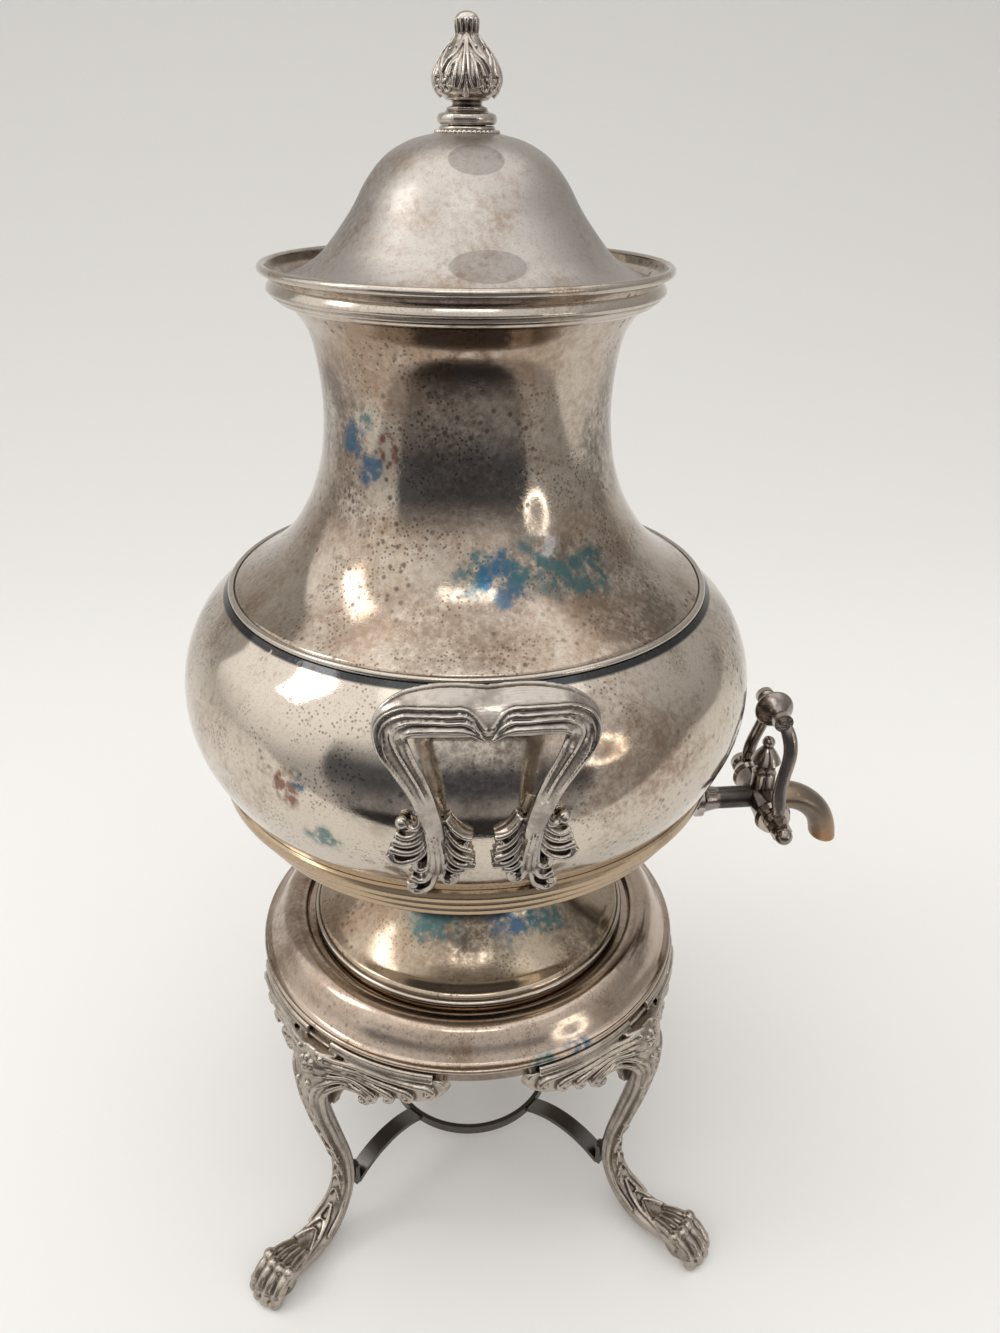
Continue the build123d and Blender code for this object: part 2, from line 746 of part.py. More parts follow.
# The cap on the boss: a flange, a waist and a ball, with a screwed stem below
with BuildPart() as tap_cap:
    with BuildSketch(Plane.XZ):
        with BuildLine():
            seat = boss_h + solder_gap
            stem = Polyline(
                (tap_x, seat - cap_stem_length),
                (tap_x + cap_stem_r, seat - cap_stem_length),
                (tap_x + cap_stem_r, seat),
                (tap_x + cap_r - 1.2, seat),
            )
            bell = ThreePointArc(stem @ 1, (tap_x + cap_r - 1.9, seat + 3.2), (tap_x + cap_r, seat + 6.4))
            waist_high = (tap_x + cap_ball_r * 0.6, cap_ball_h - cap_ball_r * 0.7)
            brow = ThreePointArc(bell @ 1, (tap_x + cap_r - 0.9, seat + 8.4), waist_high)
            Polyline(brow @ 1, (tap_x, waist_high[1]), stem @ 0)
        make_face()
    revolve(axis=Axis((tap_x, 0, 0), (0, 0, 1)))
    with Locations((tap_x, 0, cap_ball_h)):
        Sphere(cap_ball_r)
save(tap_cap.part, "tap_cap")


# The spout: a hooded tube that turns down from the outlet
def spout_tube(width, depth):
    with BuildPart() as tube:
        with BuildLine():
            bend = Spline(
                (outlet_x + solder_gap, 0, tap_h),
                (outlet_x + 14.5, 0, tap_h - 4.5),
                (spout_tip_x, 0, spout_tip_h),
                tangents=[(1, 0, 0.12), (0.12, 0, -1)],
            )
        with BuildSketch(Plane(origin=bend @ 0, x_dir=(0, 1, 0), z_dir=(1, 0, 0))):
            Ellipse(width / 2, depth / 2)
        sweep(path=bend)
    return tube


with BuildPart() as tap_spout:
    add(spout_tube(spout_width, spout_depth).part)
    add(spout_tube(2 * spout_bore_r, 2 * spout_bore_r).part, mode=Mode.SUBTRACT)
    split(bisect_by=Plane.YZ.offset(outlet_x + solder_gap), keep=Keep.TOP)
save(tap_spout.part, "tap_spout")

# The shield behind the tap: lofted from a crest on the bowl's side down to the shank's collar
shield_top = off_line(bowl_side, shield_top_h, solder_gap + shield_thick)
shield_low_h = tap_h + collar_r + solder_gap
shield_drop = shield_top_h - shield_low_h
shield_low_x = collar_x - 0.6
shield_steps = [
    (shield_top_h, shield_top.X, 0.5, 0.5),
    (shield_top_h - shield_drop * 0.33, shield_top.X - 1.5, 0.92, 3.8),
    (shield_top_h - shield_drop * 0.68, shield_top.X - 4.5, 1.0, 8.0),
    (shield_low_h, shield_low_x, 0.42, 4.5),
]
with BuildPart() as tap_shield:
    for height, mid_x, share, bow in shield_steps:
        half = shield_half_width * share
        with BuildSketch(Plane.XY.offset(height)):
            with BuildLine():
                face = ThreePointArc((mid_x - bow, -half), (mid_x, 0), (mid_x - bow, half))
                back = ThreePointArc(
                    (mid_x - bow - shield_thick, -half),
                    (mid_x - shield_thick, 0),
                    (mid_x - bow - shield_thick, half),
                )
                Line(face @ 0, back @ 0)
                Line(face @ 1, back @ 1)
            make_face()
    loft()
save(tap_shield.part, "tap_shield")

# Plug and lever, turning together about the barrel's axis
arm_in = barrel_half + arm_side_gap
arm_out = arm_in + arm_eye_thick
knob_in = arm_out + solder_gap
plug = turned_on_tap(
    (-stem_end, 0),
    (-stem_end, stem_r),
    (-barrel_half - 0.2, stem_r),
    (-barrel_half - 0.2, plug_front_r),
    (barrel_half + 0.2, plug_rear_r),
    (barrel_half + 0.2, stem_r),
    (knob_in, stem_r),
    (knob_in, knob_r * 0.62),
    (knob_in + 2.0, knob_r * 0.5),
    (knob_in + 3.6, knob_r),
    (knob_in + 6.6, knob_r),
    (knob_in + 8.8, knob_r * 0.7),
    (knob_in + 9.8, 0),
)
with BuildPart() as tap_plug:
    add(plug.part)
    rod_along_x(tap_x - plug_r - 3, tap_x + plug_r + 3, shank_bore_r, Mode.SUBTRACT)
save(tap_plug.part, "tap_plug")

rise = grip_h - tap_h
arm_mid = (arm_in + arm_out) / 2
disc_mid = grip_half + solder_gap + disc_thick / 2
arm_points = [
    Vector(tap_x, -arm_mid, tap_h + arm_eye_r * 0.5),
    Vector(tap_x, -arm_mid, tap_h + rise * 0.2),
    Vector(tap_x + 0.6, -arm_mid + 2.2, tap_h + rise * 0.42),
    Vector(tap_x + 3.2, -arm_mid + 4.2, tap_h + rise * 0.66),
    Vector(tap_x + 3.0, -arm_mid + 6.6, tap_h + rise * 0.85),
    Vector(tap_x + 0.4, -disc_mid, grip_h),
]
arm_sizes = [(arm_width * 0.8, arm_eye_thick)] + [(arm_width, arm_thick)] * 4
arm_sizes.append((arm_width * 0.7, disc_thick))
arm_strap = strap(arm_points, arm_sizes, Vector(0, -1, 0))
arm_eye = turned_on_tap((-arm_in, 0), (-arm_in, arm_eye_r), (-arm_out, arm_eye_r), (-arm_out, 0))


def along_y_at_grip(start_y, stop_y, radius, mode=Mode.ADD):
    """A round bar along Y on the grip's axis, added to or cut from the part being built."""
    with BuildSketch(Plane.XZ.offset(-start_y)) as end:
        with Locations((tap_x, grip_h)):
            Circle(radius)
    extrude(end.sketch, amount=start_y - stop_y, mode=mode)


with BuildPart() as arm_master:
    add(arm_strap.part)
    add(arm_eye.part)
    along_y_at_grip(-disc_mid + disc_thick / 2, -disc_mid - disc_thick / 2, disc_r)
    along_y_at_grip(0, -arm_out - 5, rod_r + stem_gap, Mode.SUBTRACT)
    # flat seats for the rod's riveted end and for the washer
    along_y_at_grip(-disc_mid - disc_thick / 2, -arm_out - 5, rod_head_r + solder_gap, Mode.SUBTRACT)
    with BuildSketch(Plane.XZ.offset(arm_out)):
        with Locations((tap_x, tap_h)):
            Circle(arm_eye_r + 0.4)
    extrude(amount=arm_eye_thick, mode=Mode.SUBTRACT)
    with BuildSketch(Plane.XZ.offset(grip_half)):
        with Locations((tap_x, tap_h)):
            Circle(stem_r + stem_gap)
    extrude(amount=arm_out, mode=Mode.SUBTRACT)
    split(bisect_by=Plane.XZ.offset(grip_half + solder_gap), keep=Keep.TOP)
save(arm_master.part, "tap_arm_front")
with BuildPart() as arm_rear:
    add(mirror(arm_master.part, about=Plane.XZ, mode=Mode.PRIVATE))
save(arm_rear.part, "tap_arm_rear")

with BuildPart() as tap_grip:
    with BuildSketch(Plane(origin=(tap_x, 0, grip_h), x_dir=(0, 1, 0), z_dir=(0, 0, 1))):
        with BuildLine():
            ends = (-grip_half, grip_half)
            belly = Spline(
                (ends[0], disc_r - 0.4),
                (ends[0] + 2.6, disc_r - 1.0),
                (0, grip_r),
                (ends[1] - 2.6, disc_r - 1.0),
                (ends[1], disc_r - 0.4),
            )
            Polyline(belly @ 0, (ends[0], rod_r + stem_gap), (ends[1], rod_r + stem_gap), belly @ 1)
        make_face()
    revolve(axis=Axis((tap_x, 0, grip_h), (0, 1, 0)))
save(tap_grip.part, "tap_grip")

rod_end = disc_mid + disc_thick / 2 + solder_gap
with BuildPart() as grip_rod:
    along_y_at_grip(rod_end, -rod_end, rod_r)
    for way in (1, -1):
        along_y_at_grip(way * rod_end, way * (rod_end + 1.4), rod_head_r)
save(grip_rod.part, "grip_rod")

nut_in = arm_out + solder_gap + washer_thick + solder_gap
nut_out = nut_in + nut_thick
with BuildPart() as tap_washer:
    with BuildSketch(Plane.XZ.offset(arm_out + solder_gap)):
        with Locations((tap_x, tap_h)):
            Circle(washer_r)
            Circle(stem_r + stem_gap, mode=Mode.SUBTRACT)
    extrude(amount=washer_thick)
save(tap_washer.part, "tap_washer")

with BuildPart() as tap_nut:
    with BuildSketch(Plane.XZ.offset(nut_in)):
        with Locations((tap_x, tap_h)):
            RegularPolygon(nut_flats / 2, 6, major_radius=False)
            Circle(stem_r + stem_gap, mode=Mode.SUBTRACT)
    extrude(amount=nut_thick)
save(tap_nut.part, "tap_nut")

ball_in = nut_out + solder_gap
ball_mid = ball_in + ball_nut_r * 0.8
with BuildPart() as tap_ball_nut:
    with Locations((tap_x, -ball_mid, tap_h)):
        Sphere(ball_nut_r)
    split(bisect_by=Plane.XZ.offset(ball_in), keep=Keep.TOP)
    with BuildSketch(Plane.XZ.offset(ball_in)):
        with Locations((tap_x, tap_h)):
            Circle(stem_r + stem_gap)
    extrude(amount=stem_end - ball_in + 0.1, mode=Mode.SUBTRACT)
save(tap_ball_nut.part, "tap_ball_nut")


# Lid: a bell-shaped spun shell whose flange stands inside the brim, and a sleeve in the neck
lid_seat = off_line(neck_side, lid_flange_h, body_wall + lift_gap)


def lid_line():
    crown = Line((finial_stud_r + stem_gap, lid_top_h), (finial_base_r, lid_top_h - 0.2))
    side = Spline(
        crown @ 1,
        (lid_seat.X * 0.466, lid_top_h - lid_height * 0.1205),
        (lid_seat.X * 0.666, lid_top_h - lid_height * 0.3925),
        (lid_seat.X * 0.818, lid_top_h - lid_height * 0.5955),
        (lid_seat.X, lid_seat.Y),
        tangents=[(1, -0.1), (0.75, -1)],
    )
    return [crown, side]


with BuildLine(Plane.XY) as lid_profile:
    lid_side = lid_line()[1]

lid_shell = spin_sheet(lid_line, -lid_wall)
save(lid_shell.part, "lid_shell")

# Sleeve: a plain band inside the lid that keeps it centred in the neck
sleeve_top = off_line(lid_side, sleeve_top_h, lid_wall + solder_gap)
with BuildPart() as lid_sleeve:
    with BuildSketch(Plane.XY.offset(sleeve_low_h)):
        Circle(sleeve_top.X)
        Circle(sleeve_top.X - lid_wall, mode=Mode.SUBTRACT)
    extrude(amount=sleeve_top.Y - sleeve_low_h)
save(lid_sleeve.part, "lid_sleeve")

base_low_h = lid_top_h + solder_gap
base_top_h = base_low_h + finial_base_height


def finial_base_outline():
    """Turned collar that carries the finial, with a rounded rim and a hollow above it."""
    bore = finial_stud_r + stem_gap
    rim_h = base_low_h + 0.9
    under = Line((bore, base_low_h), (finial_base_r - 0.5, base_low_h))
    rim = ThreePointArc(under @ 1, (finial_base_r, rim_h), (finial_base_r - 0.7, rim_h + 0.8))
    hollow = ThreePointArc(rim @ 1, (finial_base_r - 3.8, rim_h + 1.5), (finial_neck_r, base_top_h))
    Polyline(hollow @ 1, (bore, base_top_h), under @ 0)


finial_base = spin_outline(finial_base_outline)
save(finial_base.part, "finial_base")


def finial_outline():
    """The knob: a pear-shaped bulb on a narrow neck, a drawn-out tip with a ball, and the stud."""
    low_h = base_top_h + solder_gap
    bulb_h = low_h + finial_bulb_rise
    top_h = low_h + finial_height
    ball_mid_h = top_h - finial_ball_r
    stud_h = lid_top_h - finial_stud_length
    bulb = Spline(
        (finial_neck_r, low_h),
        (finial_r, bulb_h),
        (finial_r * 0.55, bulb_h + 7.5),
        (finial_ball_r * 0.6, ball_mid_h - finial_ball_r * 0.8),
        tangents=[(0.5, 1), (-0.1, 1)],
    )
    ball = ThreePointArc(bulb @ 1, (finial_ball_r, ball_mid_h), (0, top_h))
    Polyline(ball @ 1, (0, stud_h), (finial_stud_r, stud_h), (finial_stud_r, low_h), (finial_neck_r, low_h))


finial = spin_outline(finial_outline)
save(finial.part, "finial")

under_lid_h = lid_top_h - lid_wall - 0.2 - solder_gap
with BuildPart() as finial_washer:
    with BuildSketch(Plane.XY.offset(under_lid_h)):
        Circle(finial_nut_flats * 0.85)
        Circle(finial_stud_r + stem_gap, mode=Mode.SUBTRACT)
    extrude(amount=-washer_thick)
save(finial_washer.part, "finial_washer")

with BuildPart() as finial_nut:
    with BuildSketch(Plane.XY.offset(under_lid_h - washer_thick - solder_gap)):
        RegularPolygon(finial_nut_flats / 2, 6, major_radius=False)
        Circle(finial_stud_r + stem_gap, mode=Mode.SUBTRACT)
    extrude(amount=-finial_nut_thick)
save(finial_nut.part, "finial_nut")
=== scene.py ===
# %% [markdown]
# # A tarnished silver-plated urn on its burner stand
# The solid model is loaded as a fixed frame: every piece is already in its place, in metres, with
# +Z up, the tap towards +X and the handles on +Y and -Y. What follows gives it spun shells with
# clean reflections, carved and cast ornament, and plate that has tarnished for years.

# %% Load the frame
from math import cos, pi, radians, sin, sqrt

import bmesh
import bpy
from mathutils import Matrix, Vector
from mathutils.geometry import interpolate_bezier


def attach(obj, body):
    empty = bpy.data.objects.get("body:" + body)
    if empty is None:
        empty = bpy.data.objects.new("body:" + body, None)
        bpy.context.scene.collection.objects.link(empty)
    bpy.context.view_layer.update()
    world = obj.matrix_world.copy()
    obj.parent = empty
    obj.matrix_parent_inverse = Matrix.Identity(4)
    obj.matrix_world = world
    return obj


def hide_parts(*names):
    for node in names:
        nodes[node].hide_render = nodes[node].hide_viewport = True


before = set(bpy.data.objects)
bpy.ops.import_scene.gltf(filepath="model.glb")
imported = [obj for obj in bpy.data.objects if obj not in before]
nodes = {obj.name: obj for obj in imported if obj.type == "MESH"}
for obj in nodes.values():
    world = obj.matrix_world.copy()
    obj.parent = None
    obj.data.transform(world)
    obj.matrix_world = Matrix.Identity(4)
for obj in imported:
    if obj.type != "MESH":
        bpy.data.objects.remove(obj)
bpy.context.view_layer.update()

MM = 0.001
scene = bpy.context.scene

# %% [markdown]
# The camera stands above the brim and looks down at the visible handle. Its place, tilt, turn and
# small roll were solved from the rims, which are circles, and from the four paws, which stand on
# one level. A wide phone lens makes the top of the urn large and the legs small.

# %% Camera
PHOTO_HEIGHT = 1333
camera_place = Vector((-28.8, -391.9, 481.4)) * MM
camera_turn, camera_tilt, camera_roll = radians(6.22), radians(27.85), radians(0.81)
focal_pixels = 1016.4

flat = cos(camera_tilt)
forward = Vector((sin(camera_turn) * flat, cos(camera_turn) * flat, -sin(camera_tilt)))
right = Vector((cos(camera_turn), -sin(camera_turn), 0))
above = right.cross(forward)
rolled_right = right * cos(camera_roll) + above * sin(camera_roll)
rolled_above = above * cos(camera_roll) - right * sin(camera_roll)

camera_data = bpy.data.cameras.new("camera")
camera_data.sensor_width = 36
camera_data.lens = focal_pixels * camera_data.sensor_width / PHOTO_HEIGHT
camera_data.clip_start = 0.01
camera = bpy.data.objects.new("camera", camera_data)
axes = Matrix((rolled_right, rolled_above, -forward)).transposed()
camera.matrix_world = Matrix.Translation(camera_place) @ axes.to_4x4()
scene.collection.objects.link(camera)
scene.camera = camera
scene.view_settings.view_transform = "Standard"
print("lens:", round(camera_data.lens, 2), "mm")

# %% [markdown]
# A material is a small recipe of nodes. Shader maths reads best as ordinary arithmetic, so one
# small class wraps a socket and turns + - and * into Math nodes, and a Recipe makes any other node
# from its type, its settings and its inputs.

# %% Shader arithmetic
# inputs and outputs that share a name with others of their node are told by number
RANGE_LOW, RANGE_HIGH = 1, 2
MIX_SHARE, MIX_LOW, MIX_HIGH, MIX_RESULT = 0, 6, 7, 2


class Value:
    """A number that varies over the surface: a socket that can be used in Python arithmetic."""

    def __init__(self, recipe, socket):
        self.recipe = recipe
        self.socket = socket

    def math(self, operation, *values):
        inputs = dict(enumerate(values))
        return self.recipe.node("ShaderNodeMath", {"operation": operation}, inputs)

    def __add__(self, other):
        return self.math("ADD", self, other)

    def __sub__(self, other):
        return self.math("SUBTRACT", self, other)

    def __rsub__(self, other):
        return self.math("SUBTRACT", other, self)

    def __mul__(self, other):
        return self.math("MULTIPLY", self, other)

    __radd__ = __add__

    def least(self, other):
        return self.math("MINIMUM", self, other)

    def most(self, other):
        return self.math("MAXIMUM", self, other)

    def between(self, low, high):
        """0 below low, 1 above high, and a smooth rise between them; low may be above high."""
        if low > high:
            return 1 - self.between(high, low)
        inputs = {"Value": self, RANGE_LOW: low, RANGE_HIGH: high}
        return self.recipe.node("ShaderNodeMapRange", {"interpolation_type": "SMOOTHSTEP"}, inputs)


class Nodes:
    """An emptied node tree that nodes are added to."""

    def __init__(self, tree):
        self.tree = tree
        self.tree.nodes.clear()

    def node(self, kind, settings, inputs, output=0):
        made = self.tree.nodes.new(kind)
        for key, value in settings.items():
            setattr(made, key, value)
        self.fill(made, inputs)
        return Value(self, made.outputs[output])

    def fill(self, made, inputs):
        for key, value in inputs.items():
            if isinstance(value, Value):
                self.tree.links.new(value.socket, made.inputs[key])
            elif value is not None:
                made.inputs[key].default_value = value

    def mix(self, share, low, high):
        """Colour low where share is 0, colour high where it is 1."""
        made = self.tree.nodes.new("ShaderNodeMix")
        made.data_type = "RGBA"
        self.fill(made, {MIX_SHARE: share, MIX_LOW: low, MIX_HIGH: high})
        return Value(self, made.outputs[MIX_RESULT])


class Recipe(Nodes):
    """A new material on a Principled shader, and the patterns that feed it."""

    def __init__(self, name):
        self.material = bpy.data.materials.new(name)
        self.material.use_nodes = True
        super().__init__(self.material.node_tree)
        self.shader = self.tree.nodes.new("ShaderNodeBsdfPrincipled")
        out = self.tree.nodes.new("ShaderNodeOutputMaterial")
        self.tree.links.new(self.shader.outputs[0], out.inputs[0])
        self.place = self.node("ShaderNodeTexCoord", {}, {}, output="Object")
        self.height = self.node("ShaderNodeSeparateXYZ", {}, {0: self.place}, output=2)
        self.torn = self.noise(60, 4) - 0.5

    def noise(self, scale, detail, roughness=0.55, at=None, distortion=0.0):
        inputs = {"Scale": scale, "Detail": detail, "Roughness": roughness, "Distortion": distortion}
        return self.node("ShaderNodeTexNoise", {}, {"Vector": at or self.place, **inputs})

    def cells(self, scale):
        return self.node("ShaderNodeTexVoronoi", {}, {"Vector": self.place, "Scale": scale})

    def stretched(self, x, y, z):
        """The object's coordinates, squeezed or stretched along each axis."""
        inputs = {0: self.place, 1: (x, y, z)}
        return self.node("ShaderNodeVectorMath", {"operation": "MULTIPLY"}, inputs)

    def distance(self, place, centre):
        """How far a place is from a centre given in millimetres."""
        inputs = {0: place, 1: [value * MM for value in centre]}
        return self.node("ShaderNodeVectorMath", {"operation": "DISTANCE"}, inputs, output=1)

    def spot(self, centre, radius, ragged):
        """1 near a place on the object, falling to 0 at a radius, with an edge broken by noise."""
        away = self.distance(self.place, centre) + self.torn * ragged
        return away.between(radius * MM, radius * MM * 0.35)

    def bump(self, height, strength, distance):
        inputs = {"Strength": strength, "Distance": distance, "Height": height}
        return self.node("ShaderNodeBump", {}, inputs)

    def finish(self, colour, roughness, normal=None, metallic=1.0):
        inputs = {"Base Color": colour, "Roughness": roughness, "Metallic": metallic, "Normal": normal}
        self.fill(self.shader, inputs)
        return self.material


def colour(red, green, blue):
    return (red, green, blue, 1.0)


# %% [markdown]
# The urn stands on a pale paper sweep: a sheet that lies flat and then curves up behind, so that no
# horizon shows. It is one row of points along the paper's edge, extruded sideways. The paper ends
# a little in front of the urn, as a real one does on a table. Polished metal mirrors that edge and
# the room beyond it, and without something darker to mirror, silver looks like grey paint.

# %% Paper sweep
PAPER, PAPER_SHADED = colour(0.88, 0.87, 0.85), colour(0.72, 0.71, 0.69)
PAPER_FRONT, PAPER_BEND, PAPER_CURVE, PAPER_TOP, PAPER_SIDE = -0.38, 0.75, 0.9, 3.2, 3.0
PAPER_DROP = 0.0002
CURVE_STEPS = 12
FADE_START, FADE_END = 0.1, 1.5

sweep_line = [(PAPER_FRONT, 0.0), (PAPER_BEND, 0.0)]
for step in range(1, CURVE_STEPS + 1):
    turn = radians(90 * step / CURVE_STEPS)
    sweep_line.append((PAPER_BEND + PAPER_CURVE * sin(turn), PAPER_CURVE * (1 - cos(turn))))
sweep_line.append((PAPER_BEND + PAPER_CURVE, PAPER_TOP))
paper_shape = bmesh.new()
paper_edge = [paper_shape.verts.new((-PAPER_SIDE, y, z - PAPER_DROP)) for y, z in sweep_line]
paper_edges = [paper_shape.edges.new(pair) for pair in zip(paper_edge, paper_edge[1:])]
grown = bmesh.ops.extrude_edge_only(paper_shape, edges=paper_edges)["geom"]
moved = [part for part in grown if isinstance(part, bmesh.types.BMVert)]
bmesh.ops.translate(paper_shape, verts=moved, vec=(2 * PAPER_SIDE, 0, 0))
bmesh.ops.recalc_face_normals(paper_shape, faces=paper_shape.faces)
for face in paper_shape.faces:
    face.smooth = True
paper_mesh = bpy.data.meshes.new("pale_floor")
paper_shape.to_mesh(paper_mesh)
paper_shape.free()
paper_sweep = bpy.data.objects.new("pale_floor", paper_mesh)
scene.collection.objects.link(paper_sweep)
paper = Recipe("pale_paper")
# the paper is painted darker towards the back and up the wall: painted shade where the light falls off
far = paper.node("ShaderNodeSeparateXYZ", {}, {0: paper.place}, output=1).between(FADE_START, FADE_END)
paper_mesh.materials.append(paper.finish(paper.mix(far, PAPER, PAPER_SHADED), 0.9, metallic=0.0))
print("paper ends at y =", PAPER_FRONT, "m")

# %% [markdown]
# The room is the world. It is pale all round, brighter high on the left and darker on the right,
# and has one dim side in front, below eye level, with a darker floor under it. A small ring lamp to
# the right of the camera leaves its oval on the neck and the bowl. The camera itself sees only the
# pale tone behind the paper.


# %% Room and ring lamp
def heading(azimuth, rise):
    """The unit vector that points at an azimuth, from +X towards +Y, and a rise, in degrees."""
    flat = cos(radians(rise))
    return (flat * cos(radians(azimuth)), flat * sin(radians(azimuth)), sin(radians(rise)))


world = bpy.data.worlds.new("room")
scene.world = world
world.use_nodes = True
room = Nodes(world.node_tree)
looking = room.node("ShaderNodeTexCoord", {}, {}, output="Generated")


def towards(azimuth, rise):
    """How nearly a direction points at a place in the room: 1 straight at it."""
    dot = {"operation": "DOT_PRODUCT"}
    return room.node("ShaderNodeVectorMath", dot, {0: looking, 1: heading(azimuth, rise)}, output=1)


height = room.node("ShaderNodeSeparateXYZ", {}, {0: looking}, output=2)
# places in the room: azimuth and rise in degrees
DIM_SIDE, BRIGHT_SIDE, SHADED_SIDE = (-98, 0), (178, 42), (8, 0)
PALE = colour(0.80, 0.79, 0.77)
LOW_WALL, HIGH_WALL = colour(0.54, 0.525, 0.51), colour(0.93, 0.92, 0.91)
BRIGHT_WALL, SHADED_WALL = colour(1.35, 1.32, 1.28), colour(0.33, 0.315, 0.30)
DIM_LOW, DIM_HIGH, DIM_FLOOR = colour(0.34, 0.33, 0.33), colour(0.115, 0.12, 0.135), colour(0.04, 0.04, 0.043)

dim_side = towards(*DIM_SIDE).between(0.62, 0.67) * height.between(0.42, 0.09)
dimness = room.mix(height.between(-0.36, -0.08), DIM_LOW, DIM_HIGH)
dimness = room.mix(height.between(-0.43, -0.50), dimness, DIM_FLOOR)
walls = room.mix(height.between(-0.15, 0.60), LOW_WALL, HIGH_WALL)
walls = room.mix(towards(*BRIGHT_SIDE).between(0.55, 0.95) * 0.8, walls, BRIGHT_WALL)
walls = room.mix(towards(*SHADED_SIDE).between(0.50, 0.92) * 0.65, walls, SHADED_WALL)
walls = room.mix(dim_side, walls, dimness)

RING_AZIMUTH, RING_RISE, RING_SIZE = -43, 10, 7.5
RING_GLOW = colour(6.0, 5.7, 5.2)
# the ring glows within RING_HALF degrees of its circle and is gone beyond RING_EDGE
RING_HALF, RING_EDGE = 0.8, 1.2
near_ring = towards(RING_AZIMUTH, RING_RISE)
ring_lamp = near_ring.between(cos(radians(RING_SIZE + RING_EDGE)), cos(radians(RING_SIZE + RING_HALF)))
ring_hole = near_ring.between(cos(radians(RING_SIZE - RING_EDGE)), cos(radians(RING_SIZE - RING_HALF)))
walls = room.mix(ring_lamp * ring_hole, walls, RING_GLOW)
camera_ray = room.node("ShaderNodeLightPath", {}, {}, output="Is Camera Ray")
background = room.tree.nodes.new("ShaderNodeBackground")
room.fill(background, {"Color": room.mix(camera_ray, walls, PALE)})
world_out = room.tree.nodes.new("ShaderNodeOutputWorld")
room.tree.links.new(background.outputs[0], world_out.inputs[0])


# %% [markdown]
# Three soft lamps do the lighting: two narrow ones to the left and in front stand for windows and
# leave the bright patches on the metal, and a wide one overhead fills the rest.


# %% Lamps
def soft_lamp(name, place, aim, width, length, watts):
    """A rectangular softbox at a place, turned to face a point."""
    data = bpy.data.lights.new(name, "AREA")
    data.shape = "RECTANGLE"
    data.size, data.size_y = width, length
    data.energy = watts
    lamp = bpy.data.objects.new(name, data)
    lamp.location = place
    lamp.rotation_euler = (Vector(aim) - Vector(place)).to_track_quat("-Z", "Y").to_euler()
    scene.collection.objects.link(lamp)


soft_lamp("window_left", (-1.25, -0.10, 1.42), (0, 0, 0.25), 0.34, 0.70, 3.0)
soft_lamp("window_front", (-0.10, -1.25, 1.85), (0, 0, 0.25), 0.95, 0.24, 2.4)
soft_lamp("overhead", (0.1, 0.0, 2.3), (0, 0, 0.2), 2.6, 2.6, 10)
print("ring lamp at azimuth", RING_AZIMUTH, "rise", RING_RISE)

# %% [markdown]
# Silver plate that has stood in a cupboard turns yellow, then brown, then blue-black, first where
# fingers and damp touched it. One recipe makes every silver finish here: a clean colour, a warm
# and a dark tarnish laid over it by large and small noise, ring-shaped water spots, pits, and
# fine polishing scratches. Each piece chooses how much of each it has, and where oil colours lie.
# Painted light is laid on too: dark clouds that are partly tarnish and partly painted shade and dark
# reflections, dull ovals of painted reflection, and a nearly black band of painted shadow under a
# bead or moulding.

# %% Tarnished plate, with painted shade and painted reflections
CLEAN_SILVER = colour(0.54, 0.475, 0.40)
WARM_TARNISH = colour(0.265, 0.175, 0.115)
# dark tarnish; the painted shade and painted reflections below use this colour too
TARNISH_AND_SHADE_DARK = colour(0.050, 0.040, 0.036)
OIL_BLUE = colour(0.030, 0.11, 0.20)
OIL_TEAL = colour(0.050, 0.14, 0.15)
OIL_RUST = colour(0.16, 0.060, 0.035)
BARE_SPOT = colour(0.56, 0.51, 0.49)
# the nearly black colour of a painted shadow and dark reflection under a bead or moulding
PAINTED_SHADOW_BAND = colour(0.016, 0.024, 0.034)
SPECKLE_BROWN = colour(0.09, 0.065, 0.05)
FINE_BROWN = colour(0.16, 0.12, 0.09)
# how many millimetres that painted shadow takes to fade in
SHADOW_BAND_FADE = 0.8


